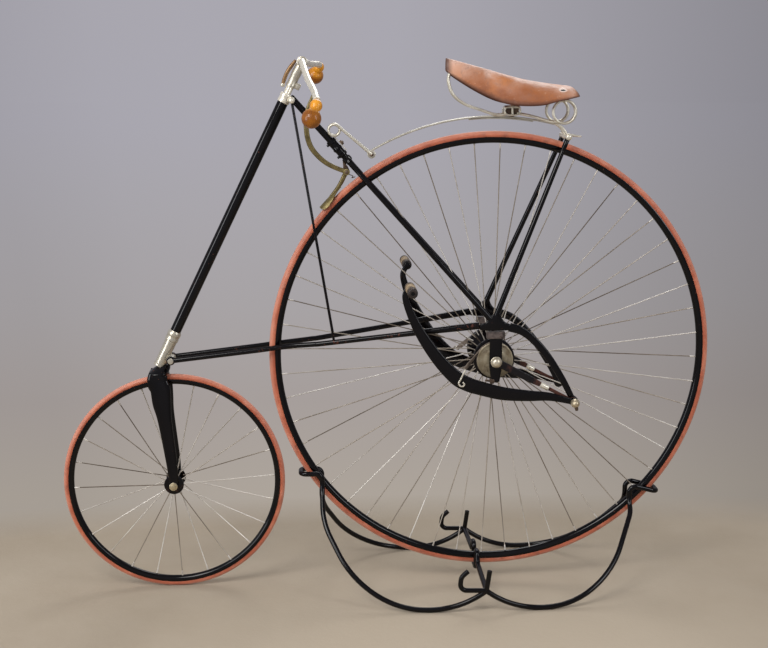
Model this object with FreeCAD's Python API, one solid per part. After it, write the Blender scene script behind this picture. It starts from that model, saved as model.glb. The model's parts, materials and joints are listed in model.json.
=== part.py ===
import FreeCAD, Part
import math
import os

# Lever-driven high-wheel bicycle standing in its bent-bar display stand.
# Millimetres. -X is the way it rides, -Y is the rider's left, +Z is up.
# The floor is z = 0 and the origin lies under the middle of the machine.

# ---- driving sizes ---------------------------------------------------------
drive_r = 609.6            # 48 in driving wheel, over the tyre
drive_tyre_r = 11.0        # round solid tyre, section radius
drive_rim_r = 12.0         # rim section radius
front_r = 304.8            # 24 in front wheel, over the tyre
front_tyre_r = 9.5
front_rim_r = 11.0
tyre_gap = 29.5            # space between the two tyres
stand_lift = 47.0          # driving tyre above the floor, in the stand

rake_deg = 26.0            # steering axis leans back from upright
setback = 174.0            # front axle behind the steering axis, square to it
steer_r = 10.0             # steering rod inside the front tube
front_tube_r = 14.5
run_fit = 0.05             # shaft in its bearing, on the radius
seat_gap = 0.3             # resting gap between curved neighbours

stay_half = 107.0          # frame sides, mid-thickness, from the middle plane
side_thick = 12.0          # thickness of the frame sides
lever_half = 125.0         # lever mid-thickness from the middle plane
fulcrum_back = 213.0       # lever pivot behind the axle
fulcrum_drop = 112.0       # and below it
pedal_ahead = 448.0        # pedal pin ahead of the lever pivot
pedal_rise = 321.0         # and above it
lever_thick = 12.0
axle_r = 9.0
drum_r = 46.0              # strap seat of the drum
drum_flange_r = 49.0
ratchet_r = 56.0
pedal_len = 122.0
pedal_r = 13.0
right_lever_raise = 2.4    # the right lever rests this much higher, degrees

saddle_long = 350.0
saddle_wide = 200.0

bar_half = 330.0           # grip ball centre from the middle plane
bar_r = 8.4
bar_straight = 34.0        # straight part of the bar each side of the middle
stem_rise = 119.0          # bar above the head's top collar
stem_grip = 73.0           # length of the socket that grips the rod
bar_roll_deg = 9.1         # the old handlebar sits rolled in its clamp
bar_skew_deg = 1.8         # and a little askew, its left end forward
stand_bar_r = 7.0
stand_half = 250.0         # stand joint from the middle plane
hoop_r = 270.0             # stand hoops, seen from the side

# ---- places worked out from the sizes --------------------------------------
axle_z = drive_r + stand_lift
rise = axle_z - front_r
wheelbase = math.sqrt((drive_r + front_r + tyre_gap) ** 2 - rise ** 2)
axle_x = (wheelbase + front_r - drive_r) / 2.0
front_x = axle_x - wheelbase

rake = math.radians(rake_deg)
along = (math.sin(rake), math.cos(rake))      # up the steering axis
foot_x = front_x - setback * math.cos(rake)
foot_z = front_r + setback * math.sin(rake)

lug_low = (2.0 * front_r + 23.0 - foot_z) / math.cos(rake)
lug_high = lug_low + 104.0
lug_pin = lug_low + 32.0
head_top = (axle_z + drive_r + 76.0 - foot_z) / math.cos(rake)
stem_top = head_top + stem_rise


def vec(x, y, z):
    return FreeCAD.Vector(x, y, z)


def steer(s, back=0.0, side=0.0):
    """A point s up the steering axis, set back from it and to one side."""
    x = foot_x + s * along[0] + back * along[1]
    z = foot_z + s * along[1] - back * along[0]
    return vec(x, side, z)


def round_axle(angle_deg, radius, side=0.0):
    """A point on a circle round the driving axle; 0 is rearward, 90 is up."""
    a = math.radians(angle_deg)
    return vec(axle_x + radius * math.cos(a), side, axle_z + radius * math.sin(a))


def rod(p, q, r):
    d = q.sub(p)
    return Part.makeCylinder(r, d.Length, p, d)


def taper(p, q, r1, r2):
    d = q.sub(p)
    return Part.makeCone(r1, r2, d.Length, p, d)


def disc(x, z, y0, y1, r, bore=0.0):
    """A round plate square to Y, bored if asked."""
    low = min(y0, y1)
    body = Part.makeCylinder(r, abs(y1 - y0), vec(x, low, z), vec(0, 1, 0))
    if bore > 0.0:
        hole = Part.makeCylinder(bore, abs(y1 - y0) + 2.0, vec(x, low - 1.0, z), vec(0, 1, 0))
        body = body.cut(hole)
    return body


def path(points, bend):
    """A wire of straight runs joined by arcs of the bend radius."""
    edges = []
    last = points[0]
    count = len(points)
    for i in range(1, count - 1):
        a = points[i - 1].sub(points[i])
        b = points[i + 1].sub(points[i])
        half = a.getAngle(b) / 2.0
        room_a = a.Length * (0.98 if i == 1 else 0.49)
        room_b = b.Length * (0.98 if i == count - 2 else 0.49)
        back = min(bend / math.tan(half), room_a, room_b)
        p = points[i].add(a.normalize().multiply(back))
        q = points[i].add(b.normalize().multiply(back))
        mid_dir = a.add(b).normalize()
        radius = back * math.tan(half)
        mid = points[i].add(mid_dir.multiply(back / math.cos(half) - radius))
        if p.sub(last).Length > 1e-4:
            edges.append(Part.makeLine(last, p))
        edges.append(Part.Arc(p, mid, q).toShape())
        last = q
    edges.append(Part.makeLine(last, points[-1]))
    return Part.Wire(edges)


def bar(points, r, bend=30.0):
    """A round bar bent along the points."""
    wire = path(points, bend) if len(points) > 2 else Part.Wire([Part.makeLine(points[0], points[1])])
    start = points[1].sub(points[0])
    ring = Part.Wire([Part.makeCircle(r, points[0], start)])
    return wire.makePipeShell([ring], True, False)


def plate(outline, y0, y1):
    """A flat plate square to Y from an (x, z) outline."""
    low = min(y0, y1)
    pts = [vec(x, low, z) for x, z in outline]
    face = Part.Face(Part.makePolygon(pts + [pts[0]]))
    return face.extrude(vec(0, abs(y1 - y0), 0))


def round_run(points, y):
    """Arcs through each three points in turn, and a line where one step is left over."""
    spots = [vec(x, y, z) for x, z in points]
    edges = []
    i = 0
    while i + 2 < len(spots):
        a, b, c = spots[i], spots[i + 1], spots[i + 2]
        if b.distanceToLine(a, c.sub(a)) < 0.01:
            edges.append(Part.makeLine(a, c))
        else:
            edges.append(Part.Arc(a, b, c).toShape())
        i += 2
    if i + 1 < len(spots):
        edges.append(Part.makeLine(spots[i], spots[i + 1]))
    return edges


def band(centre, widths, y0, y1):
    """A plate with round sides that follows (x, z) points, with a width at each."""
    left = []
    right = []
    last = len(centre) - 1
    for i in range(last + 1):
        a = centre[max(i - 1, 0)]
        b = centre[min(i + 1, last)]
        dx = b[0] - a[0]
        dz = b[1] - a[1]
        n = math.hypot(dx, dz)
        w = widths[i] / 2.0
        left.append((centre[i][0] - dz / n * w, centre[i][1] + dx / n * w))
        right.append((centre[i][0] + dz / n * w, centre[i][1] - dx / n * w))
    low = min(y0, y1)
    edges = round_run(left, low)
    edges += round_run([left[-1], right[-1]], low)
    edges += round_run(right[::-1], low)
    edges += round_run([right[0], left[0]], low)
    face = Part.Face(Part.Wire(edges))
    return face.extrude(vec(0, abs(y1 - y0), 0))


def other_side(shape):
    return shape.mirror(vec(0, 0, 0), vec(0, 1, 0))


# ---- wheels ------------------------------------------------------------------
def tyre(x, z, radius, section):
    return Part.makeTorus(radius - section, section, vec(x, 0, z), vec(0, 1, 0))


def rim(x, z, radius, section, rim_section):
    """A crescent rim: the round tyre sits in its hollow."""
    mid = radius - section - rim_section + 3.0
    body = Part.makeTorus(mid, rim_section, vec(x, 0, z), vec(0, 1, 0))
    lip = mid + 0.35 * rim_section
    cutter = Part.makeCylinder(radius + 20.0, 60.0, vec(x, -30.0, z), vec(0, 1, 0))
    cutter = cutter.cut(Part.makeCylinder(lip, 60.0, vec(x, -30.0, z), vec(0, 1, 0)))
    body = body.cut(cutter)
    return body.cut(tyre(x, z, radius, section))


def rim_inner(radius, section, rim_section):
    return radius - section - rim_section + 3.0 - rim_section


def spokes(x, z, count, hub_r, flange_y, rim_r, wire_r, sweep_deg):
    """Wire spokes, in turn on the left and right flange, leaning both ways round."""
    wires = []
    for i in range(count):
        side = -1.0 if i % 2 else 1.0
        lean = 1.0 if (i // 2) % 2 else -1.0
        a = math.radians(360.0 * i / count)
        b = a - lean * math.radians(sweep_deg)
        face = flange_y - 2.8 + lean * (wire_r + 0.3)
        hx = x + hub_r * math.cos(b)
        hz = z + hub_r * math.sin(b)
        q = vec(x + rim_r * math.cos(a), side * 3.0, z + rim_r * math.sin(a))
        elbow = disc(hx, hz, side * face, side * (flange_y - seat_gap), wire_r)
        wires.append(rod(vec(hx, side * face, hz), q, wire_r).fuse(elbow))
    return Part.makeCompound(wires)


def drive_hub():
    hub = disc(axle_x, axle_z, -62.0, 62.0, 22.0)
    for side in (-1.0, 1.0):
        hub = hub.fuse(disc(axle_x, axle_z, side * 59.5, side * 64.5, 52.0))
        hub = hub.fuse(disc(axle_x, axle_z, side * 64.5, side * 79.0, ratchet_r))
    return hub.cut(disc(axle_x, axle_z, -90.0, 90.0, axle_r + run_fit))


def drum(side):
    """The strap drum: a narrow seat between the ratchet case and a bright plate."""
    body = disc(axle_x, axle_z, side * (79.0 + seat_gap), side * 93.0, drum_r)
    body = body.fuse(disc(axle_x, axle_z, side * 93.0, side * 96.5, drum_flange_r))
    return body.cut(disc(axle_x, axle_z, side * 70.0, side * 110.0, axle_r + run_fit))


def front_hub():
    hub = disc(front_x, front_r, -36.0, 36.0, 13.0)
    for side in (-1.0, 1.0):
        hub = hub.fuse(disc(front_x, front_r, side * 33.5, side * 38.0, 27.0))
    return hub.cut(disc(front_x, front_r, -60.0, 60.0, 5.0 + run_fit))


# ---- head of the frame ---------------------------------------------------------
def front_tube():
    body = rod(steer(lug_high - 8.0), steer(head_top), front_tube_r)
    return body.cut(rod(steer(lug_low - 20.0), steer(head_top + 20.0), steer_r + 1.5))


def head_lug():
    """Bright lug at the foot of the front tube, with ears for the lower tubes."""
    body = rod(steer(lug_low), steer(lug_high), 16.5)
    body = body.fuse(rod(steer(lug_high - 18.0), steer(lug_high + 4.0), 18.0))
    body = body.fuse(rod(steer(lug_pin, 22.0, -20.0), steer(lug_pin, 22.0, 20.0), 11.0))
    body = body.cut(rod(steer(lug_high - 8.0), steer(lug_high + 40.0), front_tube_r))
    return body.cut(rod(steer(lug_low - 20.0), steer(lug_high + 40.0), steer_r + run_fit))


def top_joint():
    """Bright collar at the head of the front tube with lugs for the backbone bolt."""
    body = rod(steer(head_top), steer(head_top + 26.0), 16.5)
    ears = rod(vec_off(ear_at, -16.0), vec_off(ear_at, 16.0), 9.0)
    body = body.fuse(ears)
    return body.cut(rod(steer(head_top - 20.0), steer(head_top + 60.0), steer_r + run_fit))


# ---- frame tubes ---------------------------------------------------------------
ear_at = steer(head_top + 16.0, 18.0)       # crosswise bolt of the top collar
gusset_x = axle_x - 5.0
gusset_z = axle_z + 112.0
backbone_r = 9.0
branch_r = 7.5
lower_r = 7.0
lower_swell_r = 9.5                         # at its rear end
brace_r = 2.6
brace_share = 0.22                          # head brace's foot, along the tube's rear run
bone_top = steer(head_top + 16.0, 30.0)
bone_foot_x = gusset_x - 8.0                # where the backbone's line meets the side plates


def bone_point(distance, side, off=0.0):
    """A point down the backbone's slope, off to one side or square above it."""
    dx = bone_foot_x - bone_top.x
    dz = gusset_z - bone_top.z
    n = math.hypot(dx, dz)
    x = bone_top.x + dx / n * distance - dz / n * off
    z = bone_top.z + dz / n * distance + dx / n * off
    return vec(x, side, z)


bone_len = math.hypot(bone_foot_x - bone_top.x, gusset_z - bone_top.z)


def tyre_entry():
    """How far down the slope the backbone comes within reach of the tyre."""
    d = bone_len
    ux = (bone_foot_x - bone_top.x) / d
    uz = (gusset_z - bone_top.z) / d
    wx = axle_x - bone_top.x
    wz = axle_z - bone_top.z
    foot = wx * ux + wz * uz
    off = abs(wx * uz - wz * ux)
    return foot - math.sqrt(drive_r ** 2 - off ** 2)


split_at = tyre_entry() - 62.0


def backbone():
    return rod(bone_point(0.0, 0.0), bone_point(split_at, 0.0), backbone_r)


def clamp_sleeve():
    body = rod(bone_point(split_at - 62.0, 0.0), bone_point(split_at - 6.0, 0.0), 12.5)
    return body.cut(rod(bone_point(0.0, 0.0), bone_point(split_at, 0.0), backbone_r))


def crotch():
    """Short forged yoke where the backbone parts round the tyre."""
    a = bone_point(split_at, 0.0)
    b = bone_point(split_at + 14.0, 0.0)
    body = rod(a, b, 12.5)
    for side in (-1.0, 1.0):
        start = bone_point(split_at + 18.6, side * 16.0)
        toward = bone_point(split_at + 66.0, side * 29.0).sub(start).normalize()
        near = start.sub(vec(toward.x * seat_gap, toward.y * seat_gap, toward.z * seat_gap))
        far = start.sub(vec(toward.x * 15.0, toward.y * 15.0, toward.z * 15.0))
        body = body.fuse(rod(far, near, 8.8))
    return body


def branch():
    """Left branch of the backbone, beside the driving tyre."""
    a = bone_point(split_at + 18.6, -16.0)
    b = bone_point(split_at + 66.0, -29.0)
    c = bone_point(bone_len - 20.0, -stay_half)
    return bar([a, b, c], branch_r, 60.0)


def lower_points():
    """Line of the left lower tube: straight back from the lug, then out to the gusset."""
    start = steer(lug_pin, 22.0, -28.0)
    end = vec(gusset_x - 40.3, -stay_half + 2.5, gusset_z - 14.0)
    a = vec(start.x + 9.2, -28.0, start.z + 1.0)
    b = vec(start.x + 0.40 * (end.x - start.x), -32.0, start.z + 0.34 * (end.z - start.z))
    return [a, b, end]


def lower_tube():
    """Left lower tube, from the head lug's ear to the side gusset."""
    a, b, end = lower_points()
    tube = bar([a, b, end], lower_r, 400.0)
    tube = tube.fuse(taper(b.add(end.sub(b).multiply(0.55)), end, lower_r, lower_swell_r))
    pin = steer(lug_pin, 22.0)
    return tube.fuse(disc(pin.x, pin.z, -20.3, -32.0, 12.0))


def lug_bolt_heads():
    """Bolt heads outside the eyes."""
    pin = steer(lug_pin, 22.0)
    return [disc(pin.x, pin.z, side * 32.0, side * 38.0, 8.0) for side in (-1.0, 1.0)]


def head_brace():
    """Left thin rod from the top collar's bolt down to the lower tube."""
    top = ear_at
    a, b, end = lower_points()
    foot = b.add(end.sub(b).multiply(brace_share))
    foot.z += lower_r + 4.0 * seat_gap
    body = disc(top.x, top.z, -16.3, -26.3, 8.0)
    return body.fuse(rod(vec(top.x, -23.0, top.z), foot, brace_r))


def gusset():
    """Left side plate where tubes, stay, arch and hanger meet."""
    y0 = -stay_half - side_thick / 2.0
    y1 = -stay_half + side_thick / 2.0
    outline = [
        (gusset_x - 38.0, gusset_z - 3.0),
        (gusset_x - 26.0, gusset_z + 6.0),
        (gusset_x - 14.0, gusset_z + 20.0),
        (gusset_x - 5.0, gusset_z + 17.0),
        (gusset_x + 5.0, gusset_z + 33.1),
        (gusset_x + 21.0, gusset_z + 26.9),
        (gusset_x + 27.0, gusset_z + 4.0),
        (gusset_x + 44.5, gusset_z - 8.0),
        (gusset_x + 37.4, gusset_z - 29.9),
        (gusset_x - 16.0, gusset_z - 29.9),
        (gusset_x - 38.0, gusset_z - 26.0),
    ]
    return plate(outline, y0, y1)


def hanger():
    """Left bar that hangs from the gusset and carries the axle's end."""
    y0 = -stay_half - side_thick / 2.0
    y1 = -stay_half + side_thick / 2.0
    top = gusset_z - 50.0
    outline = [
        (axle_x - 17.0, top),
        (axle_x + 17.0, top),
        (axle_x + 17.0, axle_z - 12.0),
        (axle_x + 11.0, axle_z - 56.0),
        (axle_x - 11.0, axle_z - 56.0),
        (axle_x - 17.0, axle_z - 12.0),
    ]
    body = plate(outline, y0, y1)
    return body.cut(disc(axle_x, axle_z, y0 - 2.0, y1 + 2.0, axle_r))


def hanger_block():
    """Bearing block clamped between the left gusset and hanger."""
    y0 = -stay_half - side_thick / 2.0 - 3.0
    y1 = -stay_half + side_thick / 2.0 + 3.0
    top = gusset_z - 30.0
    low = gusset_z - 50.0
    return plate([(axle_x - 26.0, low), (axle_x + 24.0, low), (axle_x + 24.0, top), (axle_x - 26.0, top)], y0, y1)


fulcrum_x = axle_x + fulcrum_back
fulcrum_z = axle_z - fulcrum_drop


def rear_arch():
    """Left arch from the gusset down to the lever's pivot."""
    y0 = -stay_half - side_thick / 2.0
    y1 = -stay_half + side_thick / 2.0
    gx = gusset_x + 41.3
    gz = gusset_z - 19.0
    reach = fulcrum_x - gx
    drop = fulcrum_z - gz
    centre = [
        (gx, gz),
        (gx + 0.20 * reach, gz + 0.06 * drop),
        (gx + 0.40 * reach, gz + 0.20 * drop),
        (gx + 0.62 * reach, gz + 0.43 * drop),
        (gx + 0.84 * reach, gz + 0.73 * drop),
        (fulcrum_x, fulcrum_z),
    ]
    body = band(centre, [22.0, 22.0, 21.0, 20.0, 17.0, 16.0], y0, y1)
    body = body.fuse(disc(fulcrum_x, fulcrum_z, y0, y1, 13.0))
    return body.cut(disc(fulcrum_x, fulcrum_z, y0 - 2.0, y1 + 2.0, 6.0))


def radius_link():
    """Left stay rod between axle end and lever pivot."""
    y0 = -stay_half - side_thick / 2.0 - seat_gap
    y1 = y0 - 4.5
    body = disc(axle_x, axle_z, y0, y1, 15.0)
    body = body.fuse(disc(fulcrum_x, fulcrum_z, y0, y1, 11.0))
    dx = fulcrum_x - axle_x
    dz = fulcrum_z - axle_z
    n = math.hypot(dx, dz)
    centre = [(axle_x + dx * t, axle_z + dz * t) for t in (0.0, 0.16, 0.5, 0.55, 0.9, 1.0)]
    body = body.fuse(band(centre, [18.0, 17.0, 16.0, 12.0, 10.0, 10.0], y0, y1))
    body = body.cut(disc(axle_x, axle_z, y0 + 2.0, y1 - 2.0, axle_r))
    return body.cut(disc(fulcrum_x, fulcrum_z, y0 + 2.0, y1 - 2.0, 6.0))


def pivot_pin():
    """Left pivot pin with its round knob outside the lever."""
    inner = -stay_half + side_thick / 2.0
    outer = -lever_half - lever_thick / 2.0
    body = disc(fulcrum_x, fulcrum_z, inner, outer - 6.0, 6.0)
    knob = Part.makeSphere(12.0, vec(fulcrum_x, outer - 12.3, fulcrum_z))
    flat = Part.makeBox(60.0, 60.0, 60.0, vec(fulcrum_x - 30.0, outer - seat_gap, fulcrum_z - 30.0))
    return body.fuse(knob.cut(flat))


def seat_stay():
    """Left stay from the gusset up to the saddle bracket."""
    low = vec(gusset_x + 13.0, -stay_half, gusset_z + 31.4)
    top = round_axle(71.8, drive_r + 7.0, -38.0)
    return rod(low, top, 7.0)


def axle():
    return disc(axle_x, axle_z, -121.0, 121.0, axle_r)


def axle_cap():
    """Left cap nut with a domed end."""
    y0 = -stay_half - side_thick / 2.0 - seat_gap * 2.0 - 4.5
    body = disc(axle_x, axle_z, y0, y0 - 12.0, 15.0)
    dome = Part.makeSphere(22.0, vec(axle_x, y0 + 4.0, axle_z))
    body = body.fuse(disc(axle_x, axle_z, y0, y0 - 20.0, 15.0).common(dome))
    return body.cut(disc(axle_x, axle_z, y0 + 2.0, -121.0, axle_r))


# ---- saddle --------------------------------------------------------------------
leaf_r = drive_r + 36.0
leaf_thick = 4.5
leaf_half = 13.0
leaf_rear = 75.5
leaf_front = 120.9
eye_r = 11.0
eye_pin_r = 4.2


def leaf_eye():
    """Centre of the rolled eye at the spring's front end."""
    return round_axle(leaf_front, leaf_r + leaf_thick - eye_r + 0.8)


def leaf_spring():
    """Long flat spring over the tyre, carrying the saddle."""
    middle = (leaf_rear + leaf_front) / 2.0
    outer = [round_axle(a, leaf_r + leaf_thick, -leaf_half) for a in (leaf_rear, middle, leaf_front)]
    inner = [round_axle(a, leaf_r, -leaf_half) for a in (leaf_front, middle, leaf_rear)]
    edges = [Part.Arc(*outer).toShape(), Part.makeLine(outer[2], inner[0])]
    edges += [Part.Arc(*inner).toShape(), Part.makeLine(inner[2], outer[0])]
    leaf = Part.Face(Part.Wire(edges)).extrude(vec(0, 2.0 * leaf_half, 0))
    eye = leaf_eye()
    leaf = leaf.fuse(disc(eye.x, eye.z, -leaf_half, leaf_half, eye_r))
    return leaf.cut(disc(eye.x, eye.z, -leaf_half - 2.0, leaf_half + 2.0, eye_pin_r + seat_gap))


def stay_bracket():
    """Cross piece over the tyre that joins both seat stays to the spring's tail."""
    top = round_axle(71.8, drive_r + 17.0)
    body = rod(vec(top.x, -46.0, top.z), vec(top.x, 46.0, top.z), 8.5)
    arm = rod(top, round_axle(73.9, leaf_r + 2.0), 7.0)
    lug = rod(top, round_axle(68.4, drive_r + 31.0), 6.0)
    return body.fuse(arm).fuse(lug)


def front_link():
    """Wire shackle: a pin in the spring's eye, two wires and a coil on the backbone sleeve."""
    eye = leaf_eye()
    coil = bone_point(split_at - 74.0, 0.0, backbone_r + 17.0 + seat_gap)
    out = leaf_half + 4.4
    body = disc(eye.x, eye.z, -out, out, eye_pin_r)
    body = body.fuse(disc(coil.x, coil.z, -out, out, 17.0, 13.0))
    dx = eye.x - coil.x
    dz = eye.z - coil.z
    n = math.hypot(dx, dz)
    for side in (-1.0, 1.0):
        a = vec(coil.x + dx / n * 9.0 - dz / n * 12.0, side * (out - 2.0), coil.z + dz / n * 9.0 + dx / n * 12.0)
        b = vec(eye.x, side * (out - 2.0), eye.z)
        body = body.fuse(rod(a, b, 1.9))
    return body


seat_x = axle_x + 48.0
seat_z = axle_z + drive_r + 40.0


def saddle_clamp():
    """Block that grips the leaf spring and the saddle wires."""
    low = leaf_r + leaf_thick + seat_gap
    body = Part.makeBox(44.0, 44.0, 26.0, vec(seat_x - 22.0, -22.0, seat_z))
    return body.cut(disc(axle_x, axle_z, -40.0, 40.0, low))


def saddle_wires():
    """Two bent wires: under the nose, through the clamp, to the rear coils."""
    wires = []
    for side in (-1.0, 1.0):
        pts = [
            vec(seat_x - 23.0, side * 15.0, seat_z + 15.0),
            vec(seat_x - 80.0, side * 15.0, seat_z + 22.0),
            vec(seat_x - 150.0, side * 10.0, seat_z + 50.0),
            vec(seat_x - 172.0, side * 7.0, seat_z + 92.0),
            vec(seat_x - 164.0, side * 7.0, seat_z + 136.0),
        ]
        wires.append(bar(pts, 3.0, 60.0))
        pts = [
            vec(seat_x + 24.5, side * 15.0, seat_z + 15.0),
            vec(seat_x + 60.0, side * 40.0, seat_z + 2.0),
            vec(seat_x + 112.0, side * 50.0, seat_z - 9.0),
        ]
        rear = bar(pts, 3.0, 20.0)
        coil = disc(seat_x + 133.0, seat_z + 12.0, side * 44.0, side * 60.0, 31.0, 24.0)
        wires.append(rear.fuse(coil))
    return Part.makeCompound(wires)


def saddle_leather():
    """Saddle top as a thick shell: narrow nose forward and up, wide back."""
    # share of the length from the clamp, rise over the clamp, half width share, skirt depth
    table = [
        (-0.509, 152.0, 0.16, 34.0),
        (-0.314, 134.0, 0.30, 46.0),
        (-0.114, 113.0, 0.52, 58.0),
        (0.114, 92.0, 0.88, 62.0),
        (0.297, 78.0, 1.00, 50.0),
        (0.429, 74.0, 0.96, 36.0),
        (0.491, 54.0, 0.88, 10.0),
    ]
    outer = []
    inner = []
    for along_share, rise_up, wide_share, skirt in table:
        dx = along_share * saddle_long
        half = wide_share * saddle_wide / 2.0
        outer.append(saddle_section(dx, rise_up, half, skirt, 0.0))
        inner.append(saddle_section(dx, rise_up, half, skirt, 5.0))
    body = Part.makeLoft(outer, True, True)
    inner[0].translate(vec(-1.0, 0, -1.0))
    inner[-1].translate(vec(1.0, 0, -1.0))
    hollow = Part.makeLoft(inner, True, True)
    return body.cut(hollow)


def saddle_section(dx, dz, half, skirt, inset):
    """One cross-section of the saddle: a flat-topped arch, open below."""
    x = seat_x + dx
    z = seat_z + dz - inset
    w = half - inset
    drop = skirt + (inset * 2.0)
    pts = [
        vec(x, -w, z - drop),
        vec(x, -w, z - 0.35 * skirt),
        vec(x, -0.62 * w, z - 0.06 * skirt),
        vec(x, 0.0, z),
        vec(x, 0.62 * w, z - 0.06 * skirt),
        vec(x, w, z - 0.35 * skirt),
        vec(x, w, z - drop),
    ]
    return Part.makePolygon(pts + [pts[0]])


# ---- brake -----------------------------------------------------------------------
brake_reach = split_at + 30.0               # pivot's distance below the backbone's top
brake_pivot = bone_point(brake_reach, 0.0, -23.4)
brake_x = brake_pivot.x
brake_z = brake_pivot.z


def brake_bracket():
    """Ear under the backbone that carries the brake lever."""
    corners = [(3.0, -12.8), (18.0, -12.8), (37.5, -20.0), (33.0, -31.0), (24.0, -28.5)]
    outline = []
    for distance, off in corners:
        p = bone_point(split_at + distance, 0.0, off)
        outline.append((p.x, p.z))
    return plate(outline, -7.0, 7.0).fuse(disc(brake_x, brake_z, -7.0, 7.0, 8.0))


def brake_lever():
    """Long brass hand lever, bent up beside the backbone to the bar."""
    # share of the reach ahead of the pivot, share above it, width
    table = [
        (0.407, 0.939, 8.0),
        (0.449, 0.870, 9.0),
        (0.481, 0.740, 11.0),
        (0.506, 0.560, 12.0),
        (0.502, 0.426, 13.0),
        (0.435, 0.285, 13.0),
        (0.305, 0.167, 12.5),
        (0.169, 0.090, 12.0),
        (0.000, 0.000, 12.0),
    ]
    centre = [(brake_x - ahead * brake_reach, brake_z + up * brake_reach) for ahead, up, width in table]
    body = band(centre, [width for ahead, up, width in table], -19.5, -9.5)
    return body.fuse(disc(brake_x, brake_z, -20.5, -7.3, 8.6))


def brake_spoon():
    """Curved shoe held just off the tyre, with its stem to the bracket."""
    clear = drive_r + 6.0
    shoe = disc(axle_x, axle_z, -11.0, 11.0, clear + 4.0, clear)
    wedge = [(axle_x, axle_z)]
    for a in (129.5, 132.0, 134.5, 137.0, 138.6):
        t = math.radians(a)
        wedge.append((axle_x + 900.0 * math.cos(t), axle_z + 900.0 * math.sin(t)))
    shoe = shoe.common(plate(wedge, -20.0, 20.0))
    joint = round_axle(131.0, clear + 3.0)
    stem = band([(joint.x, joint.z), (brake_x - 1.0, brake_z - 7.0)], [9.0, 9.0], -6.0, 6.0)
    return shoe.fuse(stem).cut(disc(brake_x, brake_z, -20.0, 20.0, 8.0 + seat_gap))


# ---- stand ----------------------------------------------------------------------
stand_x = axle_x - 35.5
hoop_off = 0.602 * hoop_r
foot_half = 0.96 * stand_half
loop_y = drive_rim_r + 5.0 + stand_bar_r + 3.0


def hoop_point(sign, angle_deg, side_y):
    """A tangent corner round a hoop's circle, seen from the side."""
    a = math.radians(angle_deg)
    r = hoop_r / math.cos(math.radians(15.0))
    cx = stand_x + sign * hoop_off
    cz = hoop_r + stand_bar_r
    return vec(cx + sign * r * math.cos(a), side_y, cz + r * math.sin(a))


def hoop_corners(sign):
    """Corner points of one left hoop, from the stand's joint up beside the tyre."""
    joint = vec(stand_x, -stand_half, stand_bar_r + 0.197 * hoop_r)
    low = vec(stand_x + sign * (hoop_off - 0.335 * hoop_r), -foot_half - 6.0, stand_bar_r)
    flare = (foot_half - loop_y) / (leg_top(sign).z - 22.0 - stand_bar_r)
    p1 = hoop_point(sign, -75.0, -foot_half)
    p2 = hoop_point(sign, -45.0, 0.0)
    p2.y = -foot_half + flare * (p2.z - stand_bar_r)
    p3 = hoop_point(sign, -15.0, 0.0)
    p3.y = -foot_half + flare * (p3.z - stand_bar_r)
    top = leg_top(sign)
    return [joint, low, p1, p2, p3, vec(top.x, top.y, top.z - 22.0), top]


def leg_top(sign):
    x = stand_x + sign * (hoop_off + hoop_r)
    z = 305.0 if sign < 0 else 252.0
    return vec(x, -loop_y, z)


def stand_side():
    """Left half of the stand: two hoops, the upright stub and the curled end."""
    front = bar(hoop_corners(-1.0), stand_bar_r, 300.0)
    rear = bar(hoop_corners(1.0), stand_bar_r, 300.0)
    joint = hoop_corners(1.0)[0]
    ball = Part.makeSphere(stand_bar_r, joint)
    stub = rod(joint, vec(joint.x + 8.0, joint.y, joint.z + 56.0), stand_bar_r - 0.4)
    curl = bar([
        vec(joint.x - 4.0, joint.y, joint.z + 1.0),
        vec(joint.x - 72.0, joint.y, joint.z + 3.0),
        vec(joint.x - 68.0, joint.y, joint.z + 40.0),
        vec(joint.x - 50.0, joint.y, joint.z + 56.0),
    ], stand_bar_r - 0.4, 22.0)
    body = front.fuse(rear).fuse(ball)
    body = body.fuse(stub).fuse(curl)
    return body


def stand_loop(sign):
    """The bar's turn round the outside of the driving tyre, at one end."""
    top = leg_top(sign)
    reach = drive_r + 5.5 + stand_bar_r
    z = 325.0 if sign < 0 else 256.0
    x = axle_x + sign * math.sqrt(reach ** 2 - (z - axle_z) ** 2)
    knee = 325.0 if sign < 0 else 276.0
    pts = [
        vec(top.x, -loop_y, top.z + seat_gap),
        vec(top.x, -loop_y, knee),
        vec(x, -loop_y, z),
        vec(x, loop_y, z),
        vec(top.x, loop_y, knee),
        vec(top.x, loop_y, top.z + seat_gap),
    ]
    return bar(pts, stand_bar_r, 17.0)


def stand_crossbar():
    """Bar across the stand with a notch that takes the driving tyre."""
    low = axle_z - math.sqrt(drive_r ** 2 - (axle_x - stand_x) ** 2)
    seat = low - seat_gap - stand_bar_r
    joint = hoop_corners(1.0)[0]
    half = [
        (stand_half - stand_bar_r - seat_gap, joint.z),
        (62.0, joint.z + 6.0),
        (52.0, seat + 54.0),
        (24.0, seat + 54.0),
        (24.0, seat),
    ]
    pts = [vec(stand_x, -y, z) for y, z in half]
    pts += [vec(stand_x, y, z) for y, z in half[::-1]]
    return bar(pts, stand_bar_r, 12.0)


# ---- levers ----------------------------------------------------------------------
pedal_x = fulcrum_x - pedal_ahead
pedal_z = fulcrum_z + pedal_rise
pin_r = 5.0


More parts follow.
